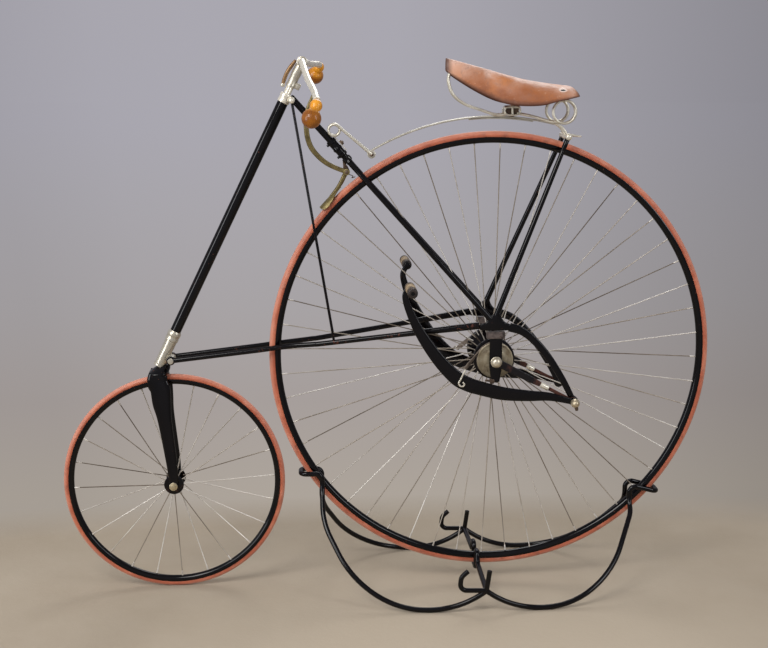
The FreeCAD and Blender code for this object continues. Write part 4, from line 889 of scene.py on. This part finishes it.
cross_at = round_drive(stay_degrees, drive_r + 17 * mm)
cross = two_ways([(-44, 6.5), (-43, 8.5), (-34, 8.5), (-32, 7.4), (-14, 7.2), (-12, 8.6)])
tail_line = run([cross_at, round_drive(72.6, leaf_r - 9 * mm), round_drive(73.9, leaf_r + 1 * mm),
    round_drive(76.5, leaf_r + leaf_thick + 2.6 * mm)], 16)
tail_wide = shares(16, [0, 0.5, 1], [15, 11, 5])
stick_line = run([cross_at + mms(2, 0, 4), round_drive(70, drive_r + 25 * mm),
    round_drive(68.2, drive_r + 30 * mm)], 10)
tail_bolt = mill(round_drive(77.6, leaf_r + leaf_thick), unit(round_drive(77.6, 1) - drive_axle),
    [(0, 6), (3, 6), (4.4, 4.4), (4.8, 2)], 24)
piece("stay_bracket", bright_nickel, [mill(cross_at, across, cross),
    swept(tail_line, tail_wide, 17 * mm, square=4, sides=28, dome=1 * mm),
    both(ball(cross_at - 46.5 * mm * across, 9.2 * mm)), tail_bolt,
    swept(stick_line, mm * np.linspace(9, 5, 10), dome=2 * mm, sides=16)])
cross_end = cross_at - 40 * mm * across
socket_ends = [stay_top + (stay_low - stay_top) * 0.06, stay_top + (cross_end - stay_top) * 0.45]
piece("stay_sockets", black_enamel, [both(swept(socket_ends, 13.5 * mm, dome=2 * mm))])

# ---- saddle ----
# One hide of thick bridle leather, blocked wet to its shape: a narrow tipped-up
# nose, hanging sides and a broad tail. It is sewn to nothing: the nose is hung on
# two bent wires and the tail on two coils of the same wire, below its skirt.
seat_low, seat_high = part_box("saddle_leather")
# share of the length, top and edge as shares of the height, half width share
hide_table = np.array([(0, 1, 0.74, 0.13), (0.02, 0.99, 0.68, 0.17), (0.07, 0.955, 0.57, 0.22),
    (0.21, 0.85, 0.33, 0.34), (0.36, 0.74, 0.12, 0.5), (0.48, 0.655, 0.02, 0.67),
    (0.6, 0.572, 0, 0.84), (0.71, 0.508, 0.02, 0.95), (0.8, 0.465, 0.085, 1),
    (0.89, 0.432, 0.14, 0.985), (0.95, 0.405, 0.175, 0.9), (0.985, 0.325, 0.19, 0.76),
    (1, 0.24, 0.2, 0.62)])
hide_rows, hide_columns = 96, 61
rows_of_hide = run(hide_table, hide_rows)
swing = np.linspace(-0.5 * np.pi, 0.5 * np.pi, hide_columns)
seat_long, seat_tall = seat_high.x - seat_low.x, seat_high.z - seat_low.z
long_way = seat_low.x + seat_long * rows_of_hide[:, :1]
top_z = seat_low.z + seat_tall * rows_of_hide[:, 1:2]
edge_z = seat_low.z + seat_tall * rows_of_hide[:, 2:3]
half = seat_high.y * rows_of_hide[:, 3:4]
arch_in = squared(swing, 0.9)[1]
arch_up = np.abs(np.cos(swing)) ** 0.85
hide_grid = np.stack([long_way + 0 * swing, half * arch_in, edge_z + (top_z - edge_z) * arch_up],
    -1)
sag = 2.6 * mm * np.exp(-((rows_of_hide[:, :1] - 0.55) / 0.2) ** 2) * arch_up**4
hide_grid[..., 2] -= sag
edge_near = np.maximum(np.abs(swing) / (0.5 * np.pi) * np.ones((hide_rows, 1)),
    np.abs(rows_of_hide[:, :1] * 2 - 1) * np.ones(hide_columns))

leather = Finish("saddle_leather", "saddle_hide", Sheen_Weight=0.04)
# Painted light: the leather is lighter towards its top and darker down its sides, by the height
# over a line that slopes down to the nose, mixed with random clouds.
high_up = leather.node("SeparateXYZ", {"Vector": leather.place})
slope = -0.58 * seat_tall / seat_long
nose_drop = leather.math("MULTIPLY", high_up.outputs["X"], slope)
level = leather.math("SUBTRACT", high_up.outputs["Z"], nose_drop)
crest = seat_high.z - slope * seat_low.x
painted_top_light = leather.math("MULTIPLY", leather.math("SUBTRACT", level, crest - 0.066), 15)
cloudy = leather.math("MULTIPLY", leather.math("SUBTRACT", leather.noise(30, 7, 0.65), 0.5), 1.5)
top_light_and_clouds = leather.math("ADD", painted_top_light, cloudy)
skin = leather.ramp(top_light_and_clouds, (0.02, (0.28, 0.08, 0.02)), (0.3, (0.36, 0.125, 0.048)),
    (0.6, (0.44, 0.205, 0.118)), (0.9, (0.68, 0.44, 0.345)))
orange_patch = leather.ramp((13, 3), (0.5, 0), (0.66, 0.75))
skin = leather.mix(orange_patch, skin, (0.5, 0.175, 0.05))
# Painted highlight: the top of the nose is paler.
nose_highlight = leather.ramp(leather.spot((seat_low.x, 0, seat_high.z), (0.085, 0.3, 0.075)),
    (0.25, 0.65), (1, 0))
skin = leather.mix(nose_highlight, skin, (0.72, 0.47, 0.37))
low_rear = (seat_low.x + 0.66 * seat_long, 0, seat_low.z + 0.13 * seat_tall)
browned = leather.ramp(leather.spot(low_rear, (0.09, 0.4, 0.04)), (0.3, 0.85), (1, 0))
skin = leather.mix(browned, skin, (0.27, 0.072, 0.01))
blotch = leather.ramp((60, 7, 0.75), (0.51, 0), (0.68, 0.65))
skin = leather.mix(blotch, skin, (0.19, 0.06, 0.024))
scuff = leather.ramp(leather.noise(160, 5, 0.75, stretch=(0.5, 1, 1)), (0.62, 0), (0.72, 0.55))
skin = leather.mix(scuff, skin, (0.8, 0.62, 0.5))
rim_dark = leather.ramp(leather.attribute("tone"), (0.9, 0), (0.985, 0.9))
skin = leather.mix(rim_dark, skin, (0.07, 0.022, 0.012))
slit_at = (seat_low.x + 0.86 * seat_long, -0.74 * seat_high.y, seat_low.z + 0.33 * seat_tall)
pale_ring = leather.ramp(leather.spot(slit_at, (13 * mm, 26 * mm, 7 * mm)), (0.75, 0.75), (1, 0))
skin = leather.mix(pale_ring, skin, (0.8, 0.66, 0.58))
# The slit is not cut: its dark inside is painted shade, and it is also pressed in as a groove.
slit_groove_and_shade = leather.ramp(leather.spot(slit_at, (7.5 * mm, 26 * mm, 2.4 * mm)), (0.85, 1), (1, 0))
skin = leather.mix(slit_groove_and_shade, skin, (0.02, 0.012, 0.008))
pores = leather.math("ADD", leather.math("MULTIPLY", leather.noise(900, 3), 0.35),
    leather.noise(110, 7, 0.7))
leather.finish(skin, leather.ramp((70, 5), (0.3, 0.42), (0.8, 0.68)),
    leather.math("SUBTRACT", pores, leather.math("MULTIPLY", slit_groove_and_shade, 2)), 0.0006)
saddle = piece("saddle_leather", leather, [hide_grid], tone=edge_near)
wall = saddle.modifiers.new("hide", "SOLIDIFY")
wall.thickness = 4.2 * mm
wall.offset = -1

# ---- saddle wires and clamp ----
# Plated spring wire: two lengths side by side rise from the clamp to the nose, and
# two run back into a pair of coils under the tail. The clamp is an oval casting of
# two cheeks with dark bolts, gripped on the flat spring.
clamp_low, clamp_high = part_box("saddle_clamp")
clamp_at = np.array([(clamp_low.x + clamp_high.x) / 2, 0, (clamp_low.z + clamp_high.z) / 2])
nose_wire = clamp_at + mms((-16, -14, -8), (-42, -14.5, -10), (-84, -14, 3), (-128, -12, 19),
    (-158, -9.5, 43), (-170.5, -8, 76), (-168, -7.5, 99), (-158, -8, 117))
saddle_wire = 7.2 * mm
wire = swept(run(nose_wire, 60), saddle_wire, sides=20, dome=2 * mm)
coil_mid = clamp_at + mms(133, 0, -1)
spin = np.linspace(-0.5 * np.pi, 2.5 * np.pi, 90)[:, None]
coil_turns = coil_mid + 30 * mm * np.hstack([np.cos(spin), 0 * spin, np.sin(spin)])
coil_turns[:, 1] = -mm * (46 + 1.45 * (spin[:, 0] + 0.5 * np.pi))
lead_in = run([clamp_at + mms(14, -14, -6), clamp_at + mms(58, -26, -15),
    clamp_at + mms(98, -39, -27), coil_turns[0]], 24)[:-1]
coil_wire = swept(np.vstack([lead_in, coil_turns]), saddle_wire, side_way=(0.12, 1, 0), sides=20,
    dome=2 * mm)
piece("saddle_wires", hook_nickel, [both(wire), both(coil_wire)])

cheek_cos, cheek_sin = squared(np.linspace(0, 2 * np.pi, 49)[:-1], 0.75)
cheek_path = clamp_at + mm * np.stack([21 * cheek_cos, 0 * cheek_cos - 18.5,
    11.5 * cheek_sin + 0.6], -1)
cheek_path = np.vstack([cheek_path, cheek_path[:2]])
cheek = swept(cheek_path, 4.4 * mm, 7 * mm, square=3, sides=16)[1:-1]
post = swept([clamp_at + mms(0, -17, -9), clamp_at + mms(0, -17, 9)], 6 * mm, sides=16)
nut_spots = [(-13, 10.5), (13, 10.5), (0, -11.5)]
nuts = [mill(clamp_at + mms(x, -9.5 - 1, z - (0 if z > 0 else 3.2)), (0, 0, 1),
    [(0, 4.8), (0.8, 5.6), (2.6, 5.6), (3.2, 4.6)], 6) for x, z in nut_spots]
piece("saddle_clamp", hook_nickel, [both(cheek), both(post), swept([clamp_at + mms(-21, 0, 9.4),
    clamp_at + mms(21, 0, 9.4)], 5 * mm, 36 * mm, square=6, sides=28, dome=0.4 * mm)])
core = swept([clamp_at + mms(-17, 0, 0), clamp_at + mms(17, 0, 0)], 17 * mm, 31 * mm, square=8,
    sides=32)
piece("clamp_bolts", brown_iron, [core, *[both(n) for n in nuts]])

# ---- spoon brake ----
# A long brass hand lever, gone olive, pivots on a dark ear under the yoke and bends
# up beside the bar. Its short arm ends in a spoon held just off the tyre, and a
# thin steel spring keeps it there.
olive = Finish("olive_brass", "brass", Metallic=0.6)
olive_tint = olive.ramp((34, 6), (0.28, (0.085, 0.062, 0.022)), (0.55, (0.2, 0.155, 0.06)),
    (0.8, (0.36, 0.3, 0.14)))
olive_dark = olive.ramp((120, 6, 0.7), (0.55, 0), (0.7, 0.8))
olive.finish(olive.mix(olive_dark, olive_tint, (0.06, 0.04, 0.016)),
    olive.ramp(90, (0.3, 0.34), (0.8, 0.6)), olive.noise(340, 5), 0.0003)
brake_reach = split_at + 30 * mm
brake_pin = on_bone(brake_reach, 0, -23.4 * mm)
# share of the reach ahead of the pivot, share above it, width
hand_table = np.array([(0.39, 0.89, 8), (0.405, 0.849, 9), (0.429, 0.792, 10.5), (0.459, 0.7, 12),
    (0.472, 0.596, 13), (0.468, 0.491, 13.5), (0.455, 0.398, 14), (0.417, 0.293, 14),
    (0.347, 0.2, 13.5), (0.254, 0.117, 13), (0.149, 0.058, 12.5), (0, 0, 12)])
hand_line = along(brake_pin, hand_table, -brake_reach, brake_reach, -14.5 * mm, 72)
hand_wide = run(hand_table[:, 2:] * mm, 72)[:, 0]
brake_boss = mill(brake_pin, across, [(-20.5, 6.6), (-19.9, 8.6), (-7.9, 8.6), (-7.3, 7.6)], 32)
piece("brake_lever", olive, [swept(hand_line, hand_wide, 9.6 * mm, square=2.8, sides=28,
    dome=3 * mm), brake_boss])
# a trough that laps the tyre: two walls round the tyre's own centre line, whose section
# opens by the flare angle times the lap
spoon_at = np.linspace(131.6, 139, 30)[:, None]
flare = np.radians(np.interp(spoon_at, [131.6, 133, 135.2, 137.4, 138.6, 139],
    [16, 30, 60, 72, 62, 38]))
lap = np.concatenate([np.linspace(-1, 1, 17), np.linspace(1, -1, 17), [-1]])
wall_r = mm * np.concatenate([np.full(17, 22.4), np.full(17, 19.2), [22.4]])
reach_out = drive_r - 11 * mm + wall_r * np.cos(flare * lap)
spoon_t = np.radians(spoon_at)
spoon = drive_axle + np.stack([reach_out * np.cos(spoon_t), wall_r * np.sin(flare * lap),
    reach_out * np.sin(spoon_t)], -1)
spoon_ends = [spoon[i:][:1].mean(1, keepdims=True) + 0 * spoon[:1] for i in (0, -1)]
spoon = np.concatenate([spoon_ends[0], spoon, spoon_ends[1]])
arm = run([brake_pin, round_drive(129.4, drive_r + 24 * mm), round_drive(131, drive_r + 16.4 * mm),
    round_drive(133, drive_r + 11.6 * mm), round_drive(135.4, drive_r + 10.4 * mm)], 32)
arm_wide = shares(32, [0, 0.5, 0.8, 1], [13, 12, 8, 3])
arm_thick = shares(32, [0, 0.4, 0.8, 1], [11, 11, 18, 14])
piece("brake_spoon", olive, [spoon, swept(arm, arm_wide, arm_thick, square=2.8, sides=24,
    dome=1 * mm)])
ear_outline = [on_yoke(d, 0, o)[[0, 2]] for d, o in ((3, -11.5), (19, -11.5), (30, -14.2),
    (38.2, -19.5), (36.5, -27), (29, -31.2), (22.6, -28), (13, -20))]
forged("brake_ear", brown_iron, "brake_bracket", np.array(ear_outline), -7 * mm, 7 * mm, 1.5 * mm,
    mirror=False)
spring_run = run([brake_pin + mms(4, 0, -7), brake_pin + mms(17, 0, -12), on_yoke(52, 0, -24),
    on_yoke(56, 0, -16)], 20)
piece("brake_spring", brown_iron, [swept(spring_run, 2.2 * mm, sides=12, dome=1 * mm)])
brake_stud = [(20.6, 4.6), (22.4, 5), (23.4, 3.6), (23.8, 1.6)]
piece("brake_stud", brown_iron, [mill(brake_pin, -across, brake_stud, 24)])

# ---- steering rod, stem and handlebar ----
# The plated rod rises through the front tube to a clamp socket, split and drawn up
# by a screw, that carries the bar. The bar droops to both sides; it has slipped in
# its clamp, so that the left grip hangs lower. The grips are turned, varnished wood.
rod_low, rod_high = span("steering_rod", on_steer(0), steer_up)
rod_long = (rod_high - rod_low) / mm
piece("steering_rod", bright_nickel, [mill(on_steer(rod_low), steer_up,
    [(0, 9.6), (0.5, 10), (rod_long - 0.5, 10), (rod_long, 9.6)])], "steering")
clamp_r = 14 * mm
stem_high = span("stem", on_steer(0), steer_up)[1] - clamp_r
socket_steps = [(-73, 11.2), (-72.2, 13.2), (-66, 13.4), (-64.5, 12.4), (-44, 12.4), (-42, 13),
    (-30, 13.2), (-12, 12), (-2, 10.5)]
clamp_bar = two_ways([(-17, 12.4), (-16, 14), (-10.5, 14), (-9.5, 12.9)])
draw_rise = stem_high - 64 * mm
ears = swept([on_steer(draw_rise, 10 * mm), on_steer(draw_rise, 24 * mm)], 17 * mm, 16 * mm,
    square=5, sides=28, dome=1 * mm)
draw_bolt = mill(on_steer(draw_rise, 18 * mm), across, [(-12.5, 3), (-12, 5), (-8, 5), (-7.9, 3.2),
    (7.9, 3.2), (8, 5.4), (12, 5.4), (12.8, 3)], 20)
piece("stem", nickel, [mill(on_steer(stem_high), steer_up, socket_steps),
    mill(on_steer(stem_high), across, clamp_bar), ears, draw_bolt], "steering")

slip = np.tan(np.radians(9.1))
askew = np.tan(np.radians(1.8))
bar_half = 330 * mm
bar_straight = 34 * mm


def on_bar(side, x, y, z):
    """A point of the bar. Past its clamp the whole bar slants, down and a little forward on
    the rider's left."""
    past = np.maximum(0, y - bar_straight)
    return on_steer(stem_high) + np.array([x + side * askew * past, side * y,
        z + side * slip * past])


def half_bar(side):
    """One half of the bar, from its clamp out and down to its end, curving back."""
    return [on_bar(side, x * mm, y * mm, z * mm) for x, y, z in ((0, 34, 0), (8, 92, -12),
        (18, 150, -25.5), (28.5, 200, -34.8), (36.5, 245, -42.2), (42, 292, -52))]


bar_line = run(half_bar(-1)[::-1] + half_bar(1), 120)
piece("handlebar", bright_nickel, [swept(bar_line, 16.8 * mm, side_way=(1, 0, 0))], "steering")

wood = Finish("varnished_grip_wood", "grip_wood", Specular_IOR_Level=0.3, Coat_Weight=0.3,
    Coat_Roughness=0.12)
rings = wood.node("TexWave", {"Vector": wood.place, "Scale": 55, "Distortion": 5, "Detail": 3})
honey = wood.ramp((26, 4), (0.3, (0.62, 0.24, 0.014)), (0.7, (0.88, 0.38, 0.026)))
russet = wood.ramp((34, 5), (0.3, (0.14, 0.036, 0.001)), (0.7, (0.33, 0.11, 0.004)))
honey = wood.mix(wood.attribute("tone"), honey, russet)
grained = wood.mix(wood.ramp(rings.outputs["Fac"], (0.3, 0), (0.9, 0.22)), honey,
    (0.3, 0.085, 0.008))
dark_end = wood.ramp((70, 6), (0.62, 0), (0.76, 0.55))
wood.finish(wood.mix(dark_end, grained, (0.1, 0.028, 0.006)), wood.ramp(60, (0.3, 0.28),
    (0.8, 0.45)), wood.noise(240), 0.0002)
neck_r, bulb_r = 15.8, 24.4  # millimetres
grips, grip_tone, ferrules = [], [], []
for side in (-1, 1):
    neck = on_bar(side, 40 * mm, bar_half - 26 * mm, -61 * mm)
    bulb = on_bar(side, 29 * mm, bar_half - 6.6 * mm, -88 * mm)
    gap = np.linalg.norm(bulb - neck) / mm
    neck_t = np.radians(np.linspace(148, 66, 8))
    bulb_t = np.radians(np.linspace(128, 4, 14))
    neck_arc = neck_r * np.stack([np.cos(neck_t), np.sin(neck_t)], -1)
    bulb_arc = bulb_r * np.stack([np.cos(bulb_t), np.sin(bulb_t)], -1)
    pear = np.vstack([neck_arc, [(0.37 * gap, 12.9)], [gap, 0] + bulb_arc])
    grips.append(mill(neck, bulb - neck, run(pear, 72), 48))
    grip_tone.append(np.broadcast_to(np.interp(np.arange(74), [0, 24, 38, 74],
        [0, 0, 1, 1])[:, None], (74, 49)))
    bar_end = bar_line[0] if side < 0 else bar_line[-1]
    end_way = bar_end - (bar_line[4] if side < 0 else bar_line[-5])
    ferrules.append(mill(bar_end, end_way, [(-9, 8.6), (-8, 9.6), (-3.5, 9.6), (-3, 8.8)], 32))
piece("grips", wood, grips, "steering", tone=np.concatenate([g.ravel() for g in grip_tone]))
piece("ferrules", bright_nickel, ferrules, "steering")

finger = run(on_steer(stem_high) + mms((-17.5, 0, 2), (-28, 0, -11), (-39, 0, -27),
    (-46.5, 0, -44), (-51, 0, -59)), 32)
finger_wide = shares(32, [0, 0.25, 0.8, 1], [8, 11, 10.5, 9])
bronze = plated("brown_bronze", (0.36, 0.22, 0.11), (0.2, 0.11, 0.05), (0.08, 0.04, 0.02), 0.05,
    (0.3, 0.55), slot="brass")
piece("signal_lever", bronze, [swept(finger, finger_wide, 11.6 * mm, square=2.6, sides=28,
    dome=3 * mm)], "steering")
finger_tip = mill(finger[-1], unit(finger[-1] - finger[-4]), [(-3, 4.6), (-2, 5.9), (3, 6.1),
    (5.4, 5), (6.6, 2.4)], 28)
piece("signal_tip", hook_nickel, [finger_tip], "steering")

# ---- fork ----
# A forged steel fork, black: a round swelling crown over the small tyre, and two
# broad flat blades that taper as they run down to eyes on the axle.
crown_high = front_axle[2] + front_r
# height over the tyre, ahead of the axle, half length, half width
crown_table = mms((27, 19, 13, 13), (24.5, 20.6, 16.4, 16.4), (21, 23.4, 19.6, 21),
    (17, 26.6, 22.6, 27), (12, 30.4, 25, 33.5), (7.5, 34, 26.6, 38.6), (3.6, 35.6, 26.6, 40.2),
    (1.6, 36, 24.6, 38.6))
crown_rows = run(crown_table, 36)
crown_line = np.stack([front_axle[0] - crown_rows[:, 1], 0 * crown_rows[:, 0],
    crown_high + crown_rows[:, 0]], -1)
# round under the lug, squarer in plan lower down, where it takes in the tops of the blades
corner = np.interp(crown_rows[:, :1], mms(8, 24), [0.62, 1])
crown_cos, crown_sin = squared(np.linspace(0, 2 * np.pi, 97), corner)
crown_ring = [crown_rows[:, 2:3] * crown_cos, crown_rows[:, 3:4] * crown_sin, 0 * crown_cos]
crown = crown_line[:, None] + np.stack(crown_ring, -1)
crown = np.concatenate([crown_line[:1, None] + 0 * crown[:1], crown,
    crown_line[-1:, None] + 0 * crown[:1]])
# height over the axle, ahead of it, half length, middle from the wheel's plane, half thickness
tall = front_r / mm
blade_table = mms((tall + 5, 35.6, 22.6, 31, 7.4), (tall + 1, 36, 26.2, 31, 9),
    (tall - 18, 36.5, 28.2, 32, 9.4), (0.88 * tall, 29.5, 27.2, 34, 9.2),
    (0.75 * tall, 26, 25, 37, 8.8), (0.59 * tall, 19, 19, 40, 8), (0.16 * tall, 2, 14.5, 44.5, 7),
    (0, 0, 12.6, 46, 6.4))
blade_rows = run(blade_table, 84)
blade_line = np.stack([front_axle[0] - blade_rows[:, 1], -blade_rows[:, 3],
    front_axle[2] + blade_rows[:, 0]], -1)
blade = swept(blade_line, 2 * blade_rows[:, 2], 2 * blade_rows[:, 4], square=2.5, sides=40)
fork_eye = mill(front_axle, -across, disc(39.5, 52.5, 13, 0.7, 1.6), 40)
piece("fork", black_enamel, [crown, both(blade), both(fork_eye)], "steering")

# ---- display stand ----
# Round steel bar, bent hot and painted black: two hoops on each side meet under
# the driving wheel, loops hold the tyre fore and aft, and a notched cross bar
# carries it. The bars keep their solids; only the paint is put on here.
stand_paint = enamel("stand_paint", 0)
for node in ("stand_left", "stand_right", "stand_front_loop", "stand_rear_loop", "stand_crossbar"):
    mesh = frame["nodes"][node].data
    mesh.materials.clear()
    mesh.materials.append(stand_paint.material)

# ---- studio ----
# A pale floor, with a painted pool of light in front of the bicycle, that fades into a
# grey backdrop with painted shade, darker to the right. A broad lamp high on the left,
# a tall one beside it, a weak one on the right and one behind light the bicycle; the
# camera stands off the rider's left side.
ring_corners = 96
floor_turn = np.linspace(0, 2 * np.pi, ring_corners + 1)[:-1, None]
floor_ring = np.hstack([np.cos(floor_turn), np.sin(floor_turn), 0 * floor_turn])
ring_radii = np.array([0, 0.5, 1.5, 3, 8, 40])
floor_points = (ring_radii[:, None, None] * floor_ring).reshape(-1, 3)
corner_at = np.arange(ring_corners)
ring_at = np.arange(len(ring_radii) - 1)[:, None] * ring_corners
first = (ring_at + corner_at).ravel()
after = (ring_at + (corner_at + 1) % ring_corners).ravel()
floor_faces = np.stack([first, first + ring_corners, after + ring_corners, after], -1)
floor_mesh = bpy.data.meshes.new("floor")
floor_mesh.from_pydata(floor_points.tolist(), [], floor_faces.tolist())
floor = bpy.data.objects.new("floor", floor_mesh)
bpy.context.scene.collection.objects.link(floor)


def wall_colour(paint, stand_off, drop):
    """The wall's grey, with painted shade by the slant x / (|y| + stand_off), darker to the
    right, and by the depth drop / (|y| + stand_off)."""
    apart = paint.node("SeparateXYZ", {"Vector": paint.place})
    far = paint.math("ADD", paint.math("ABSOLUTE", apart.outputs["Y"], 0), stand_off)
    slant = paint.math("ADD", paint.math("DIVIDE", apart.outputs["X"], far), 0.5)
    # Painted shade: the backdrop is a little darker at the left edge and much darker to the right.
    shade = paint.ramp(slant, (0.28, 0.9), (0.36, 0.98), (0.42, 1), (0.57, 0.99), (0.62, 0.94),
        (0.72, 0.81), (0.79, 0.72), (0.84, 0.66))
    low = paint.math("DIVIDE", drop, far)
    tint = paint.ramp(low, (0.05, (0.4, 0.389, 0.435)), (0.11, (0.395, 0.38, 0.408)),
        (0.18, (0.388, 0.366, 0.376)), (0.25, (0.38, 0.342, 0.328)), (0.32, (0.415, 0.37, 0.325)))
    return paint.vector("MULTIPLY", shade, tint)


def rays_seen(paint):
    """1 for the rays that see the background: camera, glossy and transmitted ones."""
    rays = paint.node("LightPath").outputs
    seen = paint.math("MAXIMUM", rays["Is Camera Ray"], rays["Is Glossy Ray"])
    return paint.math("MAXIMUM", seen, rays["Is Transmission Ray"])


carpet = Finish("floor", "floor", Specular_IOR_Level=0.1)
beige = carpet.ramp((2.2, 6, 0.6), (0.3, (0.33, 0.272, 0.206)), (0.7, (0.375, 0.315, 0.246)))
# Painted light: a paler pool on the floor in front of the bicycle.
painted_light_pool = carpet.ramp(carpet.spot((0.22, -0.75, 0), (1.05, 0.95, 1)), (0.15, 1), (1, 0))
carpet.finish(carpet.mix(painted_light_pool, beige, (0.47, 0.392, 0.302)), 0.9, carpet.noise(60, 6), 0.001)
far = carpet.ramp(carpet.spot((0, -0.12, 0), (4, 1.25, 1)), (0.5, 0), (0.72, 1))
glow = carpet.node("Emission", {"Color": wall_colour(carpet, 3.76, 1.47)})
fade = carpet.node("MixShader", {"Fac": carpet.math("MULTIPLY", rays_seen(carpet), far),
    1: carpet.shader.outputs["BSDF"], 2: glow.outputs["Emission"]})
carpet.set(carpet.nodes["Material Output"].inputs["Surface"], fade.outputs["Shader"])
floor_mesh.materials.append(carpet.material)


class Sky(Finish):
    """The same patterns, laid on the directions of the world."""

    def __init__(self, world):
        world.use_nodes = True
        self.nodes = world.node_tree.nodes
        self.links = world.node_tree.links
        self.place = self.node("TexCoord").outputs["Generated"]

    def light(self, colour, strength=1):
        """Plain light of that colour, multiplied by its strength."""
        node = self.node("Background", {"Color": colour, "Strength": strength})
        return node.outputs["Background"]


room = bpy.data.worlds.new("studio")
bpy.context.scene.world = room
sky = Sky(room)
# the first input lights the scene, and the second is what the seen rays meet
chosen = sky.node("MixShader", {"Fac": rays_seen(sky), 1: sky.light((0.96, 0.97, 1), 0.55),
    2: sky.light(wall_colour(sky, 0, 0))})
sky.set(sky.nodes["World Output"].inputs["Surface"], chosen.outputs["Shader"])


def lamp(name, place, aim, wide, tall, watts, tint):
    """A soft lamp of a width and a height at a place, turned so that its -Z looks at the aim."""
    light = bpy.data.lights.new(name, "AREA")
    light.shape = "RECTANGLE"
    light.size = wide
    light.size_y = tall
    light.energy = watts
    light.color = tint
    holder = bpy.data.objects.new(name, light)
    bpy.context.scene.collection.objects.link(holder)
    holder.location = place
    way = Vector(aim) - Vector(place)
    holder.rotation_euler = way.to_track_quat("-Z", "Y").to_euler()
    return holder


lamp("key", (-1.9, -2.6, 3.4), (0.1, 0, 0.7), 1.6, 1.6, 78, (1, 0.98, 0.95))
lamp("window", (-2.85, -1.75, 1.45), (-0.3, 0, 0.8), 0.8, 2.2, 38, (0.95, 0.97, 1))
lamp("fill", (2.35, -2.05, 2.1), (0.1, 0, 0.8), 0.7, 1.8, 26, (0.95, 0.97, 1))
lamp("rim", (0.6, 2.8, 3.2), (0, 0, 0.8), 1.6, 1.6, 40, (1, 1, 1))

eye_data = bpy.data.cameras.new("camera")
eye_data.lens = 65.6
eye_data.sensor_width = 36
camera = bpy.data.objects.new("camera", eye_data)
bpy.context.scene.collection.objects.link(camera)
camera.location = (-0.2424, -3.762, 1.4726)
camera.rotation_euler = np.radians([79.02, 0, -3.55])
bpy.context.scene.camera = camera
bpy.context.scene.view_settings.view_transform = "Standard"
